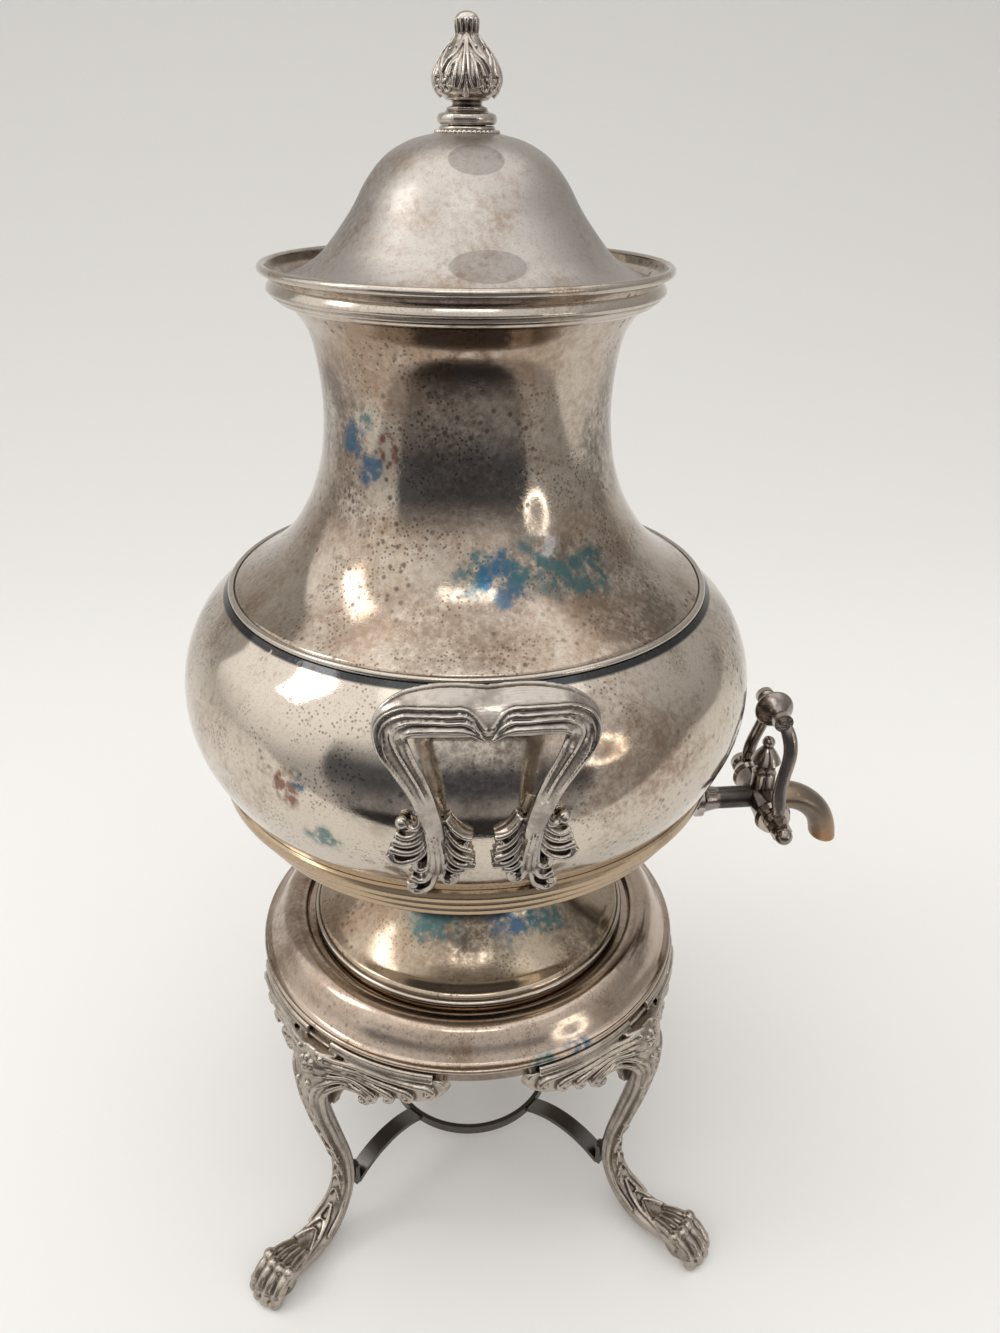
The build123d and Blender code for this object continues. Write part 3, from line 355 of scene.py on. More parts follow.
def plate(
    name, clean=CLEAN_SILVER, *, warm, dark, speckle, rough,
    scratch=0.4, oil=(), shade_and_tarnish_spots=(), painted_reflections=(), shadow_band_from=None,
):
    """Silver plate; warm, dark, speckle and scratch say how much of the surface each covers.

    Lengths are in millimetres. Oil has (centre, radius, colour). The shade spots have (centre,
    radius, share) and are dark clouds, partly tarnish and partly painted shade and dark reflections.
    The ovals have (centre, radius, flatness, share) and are painted reflections. Above the height
    where the shadow band starts, the plate is painted nearly black: a painted shadow and dark
    reflection under a bead or moulding.
    """
    r = Recipe(name)
    clouds = r.noise(11, 5, 0.62)
    drift = r.noise(34, 5, 0.6, distortion=0.6)
    grain = r.noise(420, 3, 0.6)
    fine = r.noise(1500, 2, 0.5)
    film = r.noise(150, 4, 0.65)
    uneven = clouds * 0.65 + drift * 0.35 + (grain - 0.5) * 0.25
    warmth = uneven.between(0.70 - warm * 0.42, 0.80 - warm * 0.22)
    patchy = drift * 0.6 + clouds * 0.4 + (grain - 0.5) * 0.30
    tarnish_and_shade = patchy.between(0.78 - dark * 0.35, 0.86 - dark * 0.30)
    # painted shade: dark clouds at given places, partly tarnish and partly painted shade and dark reflections
    for centre, radius, share in shade_and_tarnish_spots:
        mottled = (grain * 0.35 + drift * 0.3 + film * 0.35).between(0.36, 0.58)
        tarnish_and_shade = tarnish_and_shade.most(r.spot(centre, radius, 0.03) * mottled * share)
    # painted reflections: dull ovals, squeezed in height
    for (x, y, z), radius, flat, share in painted_reflections:
        away = r.distance(r.stretched(1, 1, flat), (x, y, z * flat))
        tarnish_and_shade = tarnish_and_shade.most(away.between(radius * MM, radius * MM * 0.94) * share)
    tone = r.mix(warmth * 0.85, clean, WARM_TARNISH)
    # dark tarnish, with the painted shade and painted reflections gathered into it
    tone = r.mix(tarnish_and_shade * 0.80, tone, TARNISH_AND_SHADE_DARK)
    # a painted shadow and dark reflection: nearly black above a height, under a bead or moulding
    if shadow_band_from is not None:
        rim = r.height.between(shadow_band_from * MM, (shadow_band_from + SHADOW_BAND_FADE) * MM) * film.between(0.20, 0.32)
        tone = r.mix(rim * 0.94, tone, PAINTED_SHADOW_BAND)
    crowds = r.noise(26, 3).between(0.60 - speckle * 0.22, 0.70 - speckle * 0.10)
    dots = r.cells(260).between(0.34, 0.12) * crowds
    spots = r.cells(620).between(0.40, 0.16) * r.noise(45, 3).between(0.52 - speckle * 0.10, 0.60)
    tone = r.mix(dots.most(spots) * speckle, tone, SPECKLE_BROWN)
    cells = r.cells(170)
    rings = cells.between(0.16, 0.30) * cells.between(0.62, 0.44)
    for centre, radius, tint in oil:
        veil = r.spot(centre, radius, 0.022) * (film.between(0.40, 0.56) * 0.75 + rings * 0.5)
        tone = r.mix(veil.least(0.82), tone, tint)
    tone = r.mix((fine - 0.5).between(0.02, 0.2) * 0.25, tone, FINE_BROWN)
    streaks = r.noise(90, 4, 0.7, at=r.stretched(3.0, 3.0, 40.0)).between(0.45, 0.75)
    wiped = r.noise(70, 4, 0.7, at=r.stretched(14.0, 5.0, 1.5)).between(0.52, 0.78)
    lines = streaks.most(wiped) * scratch
    polish = rough + warmth * 0.08 + tarnish_and_shade * 0.08 + lines * 0.08 + dots * 0.2 + (clouds - 0.5) * 0.08
    relief = grain * 0.5 + fine * 0.5 - dots * 1.5 - lines * 0.4
    return r.finish(tone, polish, r.bump(relief, 0.07, 0.0002))


# The shade entries paint dark clouds that are partly tarnish and partly shade and dark reflections; the lid's
# ovals are painted reflections; the bands high on the bowl and the foot are painted shadow under the shoulder
# wire and the moulding.
finishes = {
    "lid": plate(
        "lid_plate", colour(0.46, 0.425, 0.39), warm=0.50, dark=0.14, speckle=0.10, scratch=0.8, rough=0.34,
        # painted reflections as dull ovals, and painted dark reflections on the lid's sides
        painted_reflections=(((1, -28, 473), 9.5, 1.7, 0.42), ((3, -51, 443), 13, 2.6, 0.42)),
        shade_and_tarnish_spots=(((-45, 0, 455), 30, 0.5), ((45, 0, 455), 30, 0.4)),
    ),
    "neck": plate(
        "neck_plate", warm=0.74, dark=0.32, speckle=0.8, scratch=0.6, rough=0.07,
        oil=(((-42, -35, 386), 9, OIL_BLUE), ((-37, -42, 375), 8, OIL_BLUE),
             ((-40, -40, 393), 7, OIL_TEAL), ((-30, -46, 383), 6, OIL_RUST),
             ((-4, -66, 346), 10, OIL_TEAL), ((8, -67, 343), 11, OIL_BLUE),
             ((21, -63, 346), 13, OIL_TEAL), ((40, -58, 341), 12, OIL_TEAL),
             ((24, -58, 351), 6, BARE_SPOT)),
        # painted shade and dark reflections, mixed with tarnish, on the neck and shoulder
        shade_and_tarnish_spots=(((-4, -57, 385), 32, 0.55), ((-45, -38, 362), 18, 0.6),
               ((55, -60, 329), 34, 0.6), ((-10, -82, 326), 34, 0.4),
               ((50, -26, 385), 32, 0.85), ((-50, -22, 390), 28, 0.75),
               ((24, -62, 347), 18, 0.7)),
    ),
    "bowl": plate(
        "bowl_plate", colour(0.62, 0.55, 0.465), warm=0.50, dark=0.18, speckle=0.65, scratch=0.5, rough=0.06,
        # a painted shadow and dark reflection under the shoulder wire
        shadow_band_from=315.7,
        oil=(((-69, -96, 279), 9, OIL_RUST), ((-64, -99, 281), 5, OIL_BLUE),
             ((-58, -102, 263), 10, OIL_TEAL)),
        # painted shade and dark reflections, mixed with tarnish, on the bowl
        shade_and_tarnish_spots=(((-6, -111, 302), 28, 0.75), ((112, -30, 290), 40, 0.55),
               ((-40, -111, 283), 18, 0.5)),
    ),
    "foot": plate(
        "foot_plate", colour(0.44, 0.365, 0.275), warm=0.62, dark=0.42, speckle=0.6, rough=0.13,
        # a painted shadow under the bowl's moulding
        shadow_band_from=173.5,
        oil=(((-20, -44, 170), 16, OIL_TEAL), ((14, -46, 170), 15, OIL_BLUE),
             ((32, -40, 168), 12, OIL_TEAL)),
        # painted shade, mixed with tarnish, on the foot
        shade_and_tarnish_spots=(((0, -50, 178), 32, 0.9), ((45, -45, 160), 22, 0.6)),
    ),
    "stand": plate(
        "stand_plate", colour(0.49, 0.40, 0.325), warm=0.62, dark=0.16, speckle=0.4, rough=0.15,
        oil=(((23, -95, 132), 10, OIL_TEAL), ((40, -90, 136), 8, OIL_BLUE)),
        # painted shade, mixed with tarnish, on the stand
        shade_and_tarnish_spots=(((62, -40, 150), 30, 0.6), ((-88, -20, 146), 30, 0.4)),
    ),
    "bronze": plate("bare_bronze", colour(0.46, 0.35, 0.235), warm=0.45, dark=0.24, speckle=0.2, rough=0.14),
    "bead": plate("bead_plate", colour(0.52, 0.465, 0.40), warm=0.40, dark=0.28, speckle=0.2, rough=0.13),
}

# %% [markdown]
# Cast ornament tarnishes differently from sheet: the hollows keep a black bloom that no cloth
# reaches, and the raised edges are rubbed bright. Geometry's Pointiness tells edges from hollows.


# %% Cast and dark finishes
def cast_plate(name, bright, hollow, edge, rough, oil):
    """Cast silver plate: dark in the hollows, rubbed bright along the raised edges."""
    r = Recipe(name)
    sharp = r.node("ShaderNodeNewGeometry", {}, {}, output="Pointiness")
    mottled = r.noise(120, 5, 0.62)
    grain = r.noise(900, 2, 0.5)
    deep = (sharp + (mottled - 0.5) * 0.03).between(0.505, 0.465)
    rubbed = (sharp + (mottled - 0.5) * 0.02).between(0.515, 0.56)
    tone = r.mix(mottled.between(0.42, 0.66) * 0.6, bright, hollow)
    tone = r.mix(deep * 0.8, tone, colour(hollow[0] * 0.35, hollow[1] * 0.35, hollow[2] * 0.38))
    tone = r.mix(rubbed * 0.7, tone, edge)
    for centre, radius, tint in oil:
        tone = r.mix(r.spot(centre, radius, 0.02) * 0.6, tone, tint)
    polish = rough + deep * 0.18 - rubbed * 0.08 + (mottled - 0.5) * 0.12
    return r.finish(tone, polish, r.bump(grain + mottled * 0.6, 0.12, 0.0003))


STAINS = (((165, -7, 193), 16, colour(0.14, 0.125, 0.11)),
          ((176, -8, 170), 12, colour(0.40, 0.21, 0.10)))
# the material's name, its bright metal, its hollows and its rubbed edges, its roughness, its oil
cast_finishes = {
    "handle": ("handle_cast", (0.46, 0.415, 0.365), (0.13, 0.105, 0.085), (0.66, 0.61, 0.55), 0.20, ()),
    "leg": ("leg_cast", (0.45, 0.395, 0.335), (0.16, 0.13, 0.105), (0.62, 0.545, 0.46), 0.26, ()),
    "finial": ("finial_cast", (0.56, 0.51, 0.45), (0.14, 0.09, 0.075), (0.74, 0.69, 0.62), 0.16, ()),
    "tap": ("tap_dark", (0.31, 0.27, 0.24), (0.12, 0.10, 0.088), (0.48, 0.42, 0.36), 0.17, ()),
    "copper": ("spout_copper", (0.31, 0.225, 0.155), (0.15, 0.105, 0.075), (0.46, 0.33, 0.23), 0.33, STAINS),
    "iron": ("strut_dark", (0.055, 0.052, 0.050), (0.035, 0.033, 0.032), (0.14, 0.13, 0.12), 0.40, ()),
}
for kind, (name, bright, hollow, edge, rough, oil) in cast_finishes.items():
    finishes[kind] = cast_plate(name, colour(*bright), colour(*hollow), colour(*edge), rough, oil)
print("finishes:", len(finishes))

# %% [markdown]
# Every piece of the solid model gets its finish by name, and so does each that is replaced later.

# %% Dress the solid model
PIECES_IN = {
    "lid": "lid_shell lid_sleeve", "neck": "neck", "bowl": "bowl", "foot": "pedestal",
    "stand": "stand_top stand_rim_bead", "bronze": "bowl_moulding", "copper": "tap_spout",
    "bead": "pedestal_bead shoulder_bead rim_bead rim_moulding finial_washer finial_nut",
    "handle": "handle_right handle_left", "finial": "finial finial_base", "tap": "tap_shield",
    "iron": "burner_ring strut_screws",
}
CAD_FINISH = {piece: kind for kind, pieces in PIECES_IN.items() for piece in pieces.split()}
for name, node in nodes.items():
    family = "leg" if name.startswith("leg") else "iron" if "strut" in name else "tap"
    kind = CAD_FINISH.get(name, family)
    for slot in node.material_slots:
        slot.material = finishes[kind]
print("nodes dressed:", len(nodes))

# %% [markdown]
# The shells are spun, so they are made as a spinner makes them: half an outline, turned about the
# axis. An outline is a few (radius, height) points in millimetres. Each run of points is one smooth
# stretch, and a corner lies where two runs meet.


# %% Spinning an outline
# points nearer to each other than this, in metres, become one
WELD = 1e-6
RUN_STEPS, SPIN_STEPS, CRISP_ANGLE = 7, 160, radians(40)


def smooth_run(points):
    """Points along a smooth line through the given ones."""
    stations = [Vector((x, y, 0)) for x, y in points]
    tangents = []
    for i, here in enumerate(stations):
        before = stations[max(i - 1, 0)]
        after = stations[min(i + 1, len(stations) - 1)]
        reach = (after - here).length + (here - before).length
        tangents.append((after - before) / reach)
    line = [stations[0]]
    for a, b, ta, tb in zip(stations, stations[1:], tangents, tangents[1:]):
        third = (b - a).length / 3
        line += interpolate_bezier(a, a + ta * third, b - tb * third, b, RUN_STEPS + 1)[1:]
    return line


def link_piece(shape, name, finish, body, node):
    """Makes a bmesh into a piece with a finish, riding on a body, in place of a node."""
    mesh = bpy.data.meshes.new(name)
    shape.to_mesh(mesh)
    shape.free()
    print(name, "made,", len(mesh.polygons), "faces")
    mesh.materials.append(finishes[finish])
    piece = bpy.data.objects.new(name, mesh)
    scene.collection.objects.link(piece)
    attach(piece, body)
    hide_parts(node)
    return piece


def turn_line(line, steps, closed=False):
    """A bmesh of a line of points (radius, height) in millimetres, turned about the axis."""
    shape = bmesh.new()
    verts = [shape.verts.new((p.x * MM, 0, p.y * MM)) for p in line]
    edges = [shape.edges.new(pair) for pair in zip(verts, verts[1:])]
    if closed:
        edges.append(shape.edges.new((verts[-1], verts[0])))
    around = {"cent": (0, 0, 0), "axis": (0, 0, 1), "angle": 2 * pi}
    bmesh.ops.spin(shape, geom=verts + edges, steps=steps, use_merge=True, **around)
    bmesh.ops.remove_doubles(shape, verts=shape.verts, dist=WELD)
    bmesh.ops.recalc_face_normals(shape, faces=shape.faces)
    return shape


def spin(name, runs, finish, body, node, wall=0.0, closed=False):
    """A spun shell or ring from an outline; a wall is laid inside an open one."""
    line = []
    for run in runs:
        points = smooth_run(run) if len(run) > 2 else [Vector((x, y, 0)) for x, y in run]
        line += points[1:] if line else points
    shape = turn_line(line, SPIN_STEPS, closed)
    if wall:
        widest = max(shape.faces, key=lambda face: face.calc_center_median().xy.length)
        outwards = Vector((*widest.calc_center_median().xy, 0))
        if widest.normal.dot(outwards) < 0:
            bmesh.ops.reverse_faces(shape, faces=shape.faces)
    for face in shape.faces:
        face.smooth = True
    for edge in shape.edges:
        edge.smooth = len(edge.link_faces) != 2 or edge.calc_face_angle() < CRISP_ANGLE
    piece = link_piece(shape, name, finish, body, node)
    if wall:
        sheet_wall = piece.modifiers.new("wall", "SOLIDIFY")
        sheet_wall.thickness = wall * MM
        sheet_wall.offset = -1
        sheet_wall.use_even_offset = True


# %% [markdown]
# The bowl swells to its widest just above the middle and tucks under the moulding. The neck is one
# sweep from the shoulder up to a trumpet brim. The lid is a bell whose skirt flares out to just
# inside the brim.

# %% Bowl, neck and lid
BOWL_WALL, LID_WALL, STAND_WALL = 1.3, 1.1, 1.4
bowl_runs = [
    [(0, 188), (49, 188)],
    [(49, 188), (66, 194.5), (84, 208.5), (97, 224), (105.8, 238), (112.4, 249.6), (117.1, 262),
     (118.7, 274), (117.8, 285.5), (114.6, 296), (108.4, 307), (97.4, 318)],
    [(97.4, 318), (93.4, 318)],
]
neck_runs = [
    [(73.0, 437.4), (68.8, 431.4)],
    [(68.8, 431.4), (63.6, 425), (58.6, 417), (56.1, 406), (54.9, 391), (55.6, 378), (58.0, 365),
     (63.0, 351.5), (72.0, 337.5), (82.0, 328), (95.5, 319.4)],
]
lid_runs = [
    [(0, 480.6), (9.6, 480.4)],
    [(9.6, 480.4), (19.5, 478), (28.2, 473.2), (35, 465.6), (40.2, 457), (45.2, 450.2), (48.8, 445.8),
     (51.6, 442.6), (55.2, 439.6), (59.4, 437.0), (63.8, 435.0), (68.1, 433.9)],
]
spin("urn_bowl", bowl_runs, "bowl", "urn", "bowl", wall=BOWL_WALL)
spin("urn_neck", neck_runs, "neck", "urn", "neck", wall=BOWL_WALL)
spin("lid_bell", lid_runs, "lid", "lid", "lid_shell", wall=LID_WALL)

# %% [markdown]
# The urn's foot flares from a narrow waist to a rim that sits in the channel of the stand. The top
# of the stand is one pressed sheet too, so both are outlines again: a lip, the channel, a rolled
# crest, a slope and a band.

# %% Foot and stand
pedestal_runs = [
    [(41.5, 187.9), (48.5, 187.9)],
    [(48.5, 187.9), (45.6, 180.5), (48.6, 171), (57.5, 161.5), (67, 154.2), (72.0, 151.7)],
    [(72.0, 151.7), (73.2, 150.25)],
    [(73.2, 150.25), (73.2, 145.05)],
]
stand_runs = [
    [(64, 140), (64, 143.5)],
    [(64, 143.5), (64.5, 144.6), (65.5, 145)],
    [(65.5, 145), (78, 145)],
    [(78, 145), (79.3, 148.6), (84, 150.2), (88.6, 148.4), (91.8, 144.6), (94.4, 140.6), (96.5, 137.8)],
    [(96.5, 137.8), (98.5, 137.2)],
    [(98.5, 137.2), (98.5, 130)],
]
spin("urn_foot", pedestal_runs, "foot", "urn", "pedestal", wall=BOWL_WALL)
spin("stand_plateau", stand_runs, "stand", "stand", "stand_top", wall=STAND_WALL)

# %% [markdown]
# Beads, steps and mouldings are half-round wires and stamped rings soldered over the joints. Each is
# a small closed outline, turned like the shells. The round of a wire is an arc worked out from its
# middle and its radius, and its flat back closes it.


# %% Rings and beads
def bead_run(radius, height, thick, start=-90, stop=90, steps=8):
    """An arc of an outline round (radius, height), from one angle to another in degrees."""
    turns = [radians(start + (stop - start) * k / steps) for k in range(steps + 1)]
    return [(radius + thick * cos(t), height + thick * sin(t)) for t in turns]


def ring(name, runs, finish, body, node):
    spin(name, runs, finish, body, node, closed=True)


ring("shoulder_wire", [bead_run(95.9, 318.9, 1.35, -120, 135, 12)], "bead", "urn", "shoulder_bead")
ring("brim_wire", [bead_run(73.2, 438.0, 1.6, -115, 150)], "bead", "urn", "rim_bead")
ring("foot_wire", [bead_run(73.3, 148.2, 1.6)], "bead", "urn", "pedestal_bead")
ring("band_wire", [bead_run(98.6, 135.7, 1.3)], "stand", "stand", "stand_rim_bead")
ring(
    "brim_steps",
    [[(70.6, 434.2), (71.9, 432.2)], [(71.9, 432.2), (72.2, 431.0), (71.5, 430.1)],
     [(71.5, 430.1), (70.7, 429.9)], [(70.7, 429.9), (70.6, 429.0), (69.7, 428.3)],
     [(69.7, 428.3), (68.9, 428.1)], [(68.9, 428.1), (68.4, 427.2), (66.9, 426.4)],
     [(66.9, 426.4), (65.2, 426.2)]],
    "bead", "urn", "rim_moulding",
)
MOULDING_TOP, MOULDING_FOOT, MOULDING_BEADS = (106.1, 238.2), (94.0, 219.4), 3
BEAD_SEAT, BEAD_RISE, BEAD_SHARES = 1.2, 2.4, (0, 0.12, 0.3, 0.5, 0.7, 0.88, 1)
across = (Vector(MOULDING_FOOT) - Vector(MOULDING_TOP)) / MOULDING_BEADS
outwards = Vector((-across.y, across.x)).normalized()
moulding_runs = []
for n in range(MOULDING_BEADS):
    start = Vector(MOULDING_TOP) + across * n + outwards * BEAD_SEAT
    arc = [start + across * t + outwards * BEAD_RISE * sin(pi * t) for t in BEAD_SHARES]
    moulding_runs.append([tuple(p) for p in arc])
moulding_runs += [[moulding_runs[-1][-1], MOULDING_FOOT], [MOULDING_FOOT, MOULDING_TOP]]
ring("bowl_beads", moulding_runs, "bronze", "urn", "bowl_moulding")

# %% [markdown]
# Cast silver is carved first as a model: leaves are bundles of strands that start at a stem and curl
# over at their tips. Here a strand is a curve whose radius swells and tapers. The strands of a leaf
# and the plain casting under them are melted into one skin by a voxel remesh, and then eased a
# little, which is what wax, sand and a century of polishing do to the real one.


# %% Strands and castings
STRAND_SIDES, STRAND_STEPS = 2, 5


def strand_mesh(strands):
    """One mesh of round strands; a strand is a list of (place, radius), both in millimetres."""
    data = bpy.data.curves.new("strands", "CURVE")
    data.dimensions = "3D"
    data.bevel_depth = MM
    data.bevel_resolution = STRAND_SIDES
    data.resolution_u = STRAND_STEPS
    data.use_fill_caps = True
    for strand in strands:
        spline = data.splines.new("BEZIER")
        spline.bezier_points.add(len(strand) - 1)
        for knot, (place, radius) in zip(spline.bezier_points, strand):
            knot.co = Vector(place) * MM
            knot.radius = radius
            knot.handle_left_type = knot.handle_right_type = "AUTO"
    curve = bpy.data.objects.new("strands", data)
    mesh = bpy.data.meshes.new_from_object(curve)
    bpy.data.objects.remove(curve)
    return mesh


def ball(shape, place, radius):
    """A small round bead added to a bmesh, its place and radius in millimetres."""
    made = bmesh.ops.create_icosphere(shape, subdivisions=3, radius=radius * MM)["verts"]
    bmesh.ops.translate(shape, verts=made, vec=Vector(place) * MM)


def casting(name, strands, balls, voxel, ease, finish, body, node, cast=None, turn=0.0):
    """Melts strands and beads into one cast piece that stands in for a node.

    They are drawn at azimuth 0 and turned into place. The plain casting under them is a bmesh, or
    else the node's own shape. The voxel is in millimetres, and ease counts the smoothing passes.
    """
    shape = cast or bmesh.new()
    shape.from_mesh(strand_mesh(strands))
    for place, radius in balls:
        ball(shape, place, radius)
    about_axis = Matrix.Rotation(radians(turn), 3, "Z")
    bmesh.ops.rotate(shape, verts=shape.verts, cent=(0, 0, 0), matrix=about_axis)
    if cast is None:
        plain = bmesh.new()
        plain.from_mesh(nodes[node].data)
        bmesh.ops.remove_doubles(plain, verts=plain.verts, dist=2 * WELD)
        merged = bpy.data.meshes.new("plain_casting")
        plain.to_mesh(merged)
        plain.free()
        shape.from_mesh(merged)
    rough = bpy.data.meshes.new(name)
    shape.to_mesh(rough)
    shape.free()
    wax = bpy.data.objects.new("wax", rough)
    scene.collection.objects.link(wax)
    melt = wax.modifiers.new("melt", "REMESH")
    melt.mode = "VOXEL"
    melt.voxel_size = voxel * MM
    soften = wax.modifiers.new("soften", "SMOOTH")
    soften.factor = 0.5
    soften.iterations = ease
    bpy.context.view_layer.update()
    melted = wax.evaluated_get(bpy.context.evaluated_depsgraph_get())
    skin = bpy.data.meshes.new_from_object(melted)
    bpy.data.objects.remove(wax)
    cooled = bmesh.new()
    cooled.from_mesh(skin)
    for face in cooled.faces:
        face.smooth = True
    link_piece(cooled, name, finish, body, node)


# %% [markdown]
# Each handle foot is an acanthus leaf pressed to the bowl. Its strands are drawn flat, in
# millimetres to the side of and above the foot's middle, and each point is then laid on the bowl.

# %% Handles
bowl_side = [(p.x, p.y) for p in smooth_run(bowl_runs[1])]


def radius_at(outline, height):
    """The radius at a height, read from (radius, height) points that rise."""
    for (r1, h1), (r2, h2) in zip(outline, outline[1:]):
        if h1 <= height <= h2:
            return r1 + (r2 - r1) * (height - h1) / (h2 - h1)
    return outline[-1][0]


def on_bowl(x, height, lift):
    """A point of the visible side (-Y) of the bowl, lifted off its surface."""
    radius = radius_at(bowl_side, height)
    slope = (radius_at(bowl_side, height + 1) - radius_at(bowl_side, height - 1)) / 2
    out = Vector((x / radius, -sqrt(1 - (x / radius) ** 2), -slope)).normalized()
    return Vector((x, -sqrt(radius ** 2 - x ** 2), height)) + out * lift


# each frond of the leaf, from its stem to its tip: places (to the side, height), and its thickness
fronds = [
    ([(20.8, 282.2), (20.5, 279.1), (22.6, 276.9), (24.5, 277.6)], 0.95),
    ([(18.5, 278.7), (21.2, 275.4), (25.4, 273.1), (28.5, 273.6)], 1.15),
    ([(18.2, 276.5), (21.0, 272.3), (25.5, 270.1), (29.7, 270.4)], 1.25),
    ([(17.7, 274.3), (20.6, 268.9), (25.1, 266.5), (30.8, 266.8)], 1.3),
    ([(17.3, 271.6), (19.7, 266.3), (24.0, 262.6), (29.2, 261.8), (31.4, 264.6)], 1.3),
    ([(16.5, 268.3), (18.3, 260.5), (21.4, 258.3), (23.0, 262.1)], 1.1),
    ([(16.0, 265.6), (17.7, 256.0), (20.8, 251.9), (24.3, 253.2)], 1.15),
    ([(15.6, 264.2), (16.3, 253.8), (19.1, 246.0), (23.5, 244.3), (24.4, 249.8)], 1.35),
    ([(14.6, 264.3), (14.3, 255.9), (11.6, 251.8), (9.1, 254.3), (10.1, 257.0)], 1.2),
    ([(12.4, 280.7), (9.6, 276.9), (6.7, 274.6), (3.8, 273.3)], 0.95),
    ([(12.9, 278.4), (10.6, 274.0), (7.7, 270.7), (4.2, 268.5)], 1.15),
    ([(13.4, 276.2), (11.6, 270.6), (8.4, 266.6), (3.7, 264.1)], 1.25),
    ([(13.5, 273.2), (12.1, 267.2), (8.9, 262.7), (2.8, 261.1)], 1.3),
    ([(13.8, 269.8), (12.9, 263.0), (9.9, 259.3), (5.9, 258.9)], 1.15),
]
# the stem's stations: place, thickness and lift
leaf_stem = [((18.1, 284.9), 3.0, 4.6), ((16.1, 278.9), 3.4, 3.6), ((15.4, 272.4), 2.9, 2.4),
             ((15.6, 265.6), 2.0, 1.8), ((17.0, 256.5), 1.2, 1.6)]
# the veins that start on the strap and run down the leaf: place, spread, lift and thickness
leaf_veins = [((17.4, 284.5), 0.95, 8.5, 0.35), ((16.1, 276.5), 0.9, 8.1, 0.6),
              ((15.5, 269.0), 1.0, 6.0, 0.8), ((15.7, 262.0), 1.25, 4.2, 0.85),
              ((16.2, 254.5), 1.7, 2.6, 0.8)]
VEINS_ACROSS = (-2.0, -0.7, 0.7, 2.0)
BEAD_LIFT, FROND_LIFT, FROND_ARCH, BED_THICK = 2.6, 1.5, 1.7, 2.0
# above this height the stems lean away from the bowl, towards the strap
LEAN_FROM, LEAN = 266, 0.15
# beads among the fronds: place and radius
leaf_beads = [((26.5, 278.4), 2.4), ((23.4, 247.6), 1.5), ((20.2, 243.2), 1.6), ((10.1, 253.8), 1.5),
              ((22.3, 262.2), 1.1), ((30.2, 263.8), 1.2), ((4.4, 262.6), 1.1), ((5.4, 271.8), 0.9)]


def foot_ornament(side):
    """The fronds, stem and beads of one foot; side is -1 for the left foot and 1 for the right."""
    strands, balls = [], []
    for places, thick in fronds:
        line, bed = [], []
        for k, (s, h) in enumerate(places):
            share = k / (len(places) - 1)
            lean = max(h - LEAN_FROM, 0) * LEAN * (1 - share)
            lift = FROND_LIFT + lean + FROND_ARCH * sin(pi * 0.8 * share)
            line.append((on_bowl(side * s, h, lift), thick * (0.6 + 0.65 * share)))
            bed.append((on_bowl(side * s, h, lift * 0.4), BED_THICK * (1 - 0.3 * share)))
        strands += [line, bed]
    strands.append([(on_bowl(side * s, h, lift), thick) for (s, h), thick, lift in leaf_stem])
    for off in VEINS_ACROSS:
        strands.append([(on_bowl(side * (s + off * spread), h, lift - off * off * 0.22), thick)
                        for (s, h), spread, lift, thick in leaf_veins])
    balls += [(on_bowl(side * s, h, BEAD_LIFT), radius) for (s, h), radius in leaf_beads]
    return strands, balls


# %% [markdown]
# The strap is a bundle of strands too. Its stations run from the right foot, up the side bar, round
# the corner and along the top to the middle. The side bar is a flat band with a channel between
# raised reeds. Above the corner the reeds cross to the lower edge, and a broad dome swells behind
# them. In the middle the reeds of both halves meet and dip in a V.

# %% Handle strap
# stations: place, width, half the depth of the band
strap = [
    ((16.2, -118.6, 261.0), 2.6, 1.2), ((16.0, -123.2, 275.5), 6.0, 1.9),
    ((18.7, -127.2, 290.0), 7.5, 2.1), ((21.9, -129.5, 300.1), 7.8, 2.1),
    ((26.0, -132.0, 310.5), 8.7, 2.2), ((29.0, -133.8, 319.6), 10.6, 2.6),
    ((28.4, -134.8, 325.6), 12.6, 3.0), ((25.0, -135.0, 328.9), 14.0, 3.4),
    ((18.5, -135.0, 330.3), 15.6, 3.7), ((12.0, -135.0, 330.6), 16.5, 3.8),
    ((6.0, -135.0, 330.4), 16.2, 3.7), ((0.0, -135.0, 330.1), 15.5, 3.6),
]
STRAP_FACE = Vector((0, -1, 1)).normalized()
BAND_SHARES = [n / 7 for n in range(-7, 8)]
# a band deeper than DOME_FROM swells into the dome
DOME_FROM, DOME_RISE = 2.6, 0.9
REED_START, REEDS_MEET = 2, 1.9
# each reed: its place across the face (1 on the outer edge) from station REED_START on, and its
# thickness; REED_SUNK says how far the reeds sink into the band there
reeds = [
    ([0.95, 0.95, 0.95, 0.92, 0.62, 0.22, -0.06, -0.14, -0.20, -0.95], 0.85),
    ([0.84, 0.84, 0.82, 0.62, 0.25, -0.14, -0.36, -0.42, -0.46, -1.10], 0.5),
    ([-0.10, -0.08, -0.08, -0.14, -0.3, -0.50, -0.62, -0.68, -0.72, -1.22], 0.6),
    ([-0.95] * 8 + [-1.0, -1.34], 0.85),
]
REED_SUNK = [0.9, -0.35, -0.5, -0.35] + [0.1] * 6
# the fine line along the outer edge, at the last stations
edge_shares, EDGE_THICK, EDGE_INSET = [0.9, 0.93, 0.96, 0.97, 0.97, 0.97, 0.97], 0.5, 0.3


def dome(half, share):
    """How far the dome rises over a band of a half depth, at a place across it."""
    return (1 - share * share) * max(half - DOME_FROM, 0) * DOME_RISE


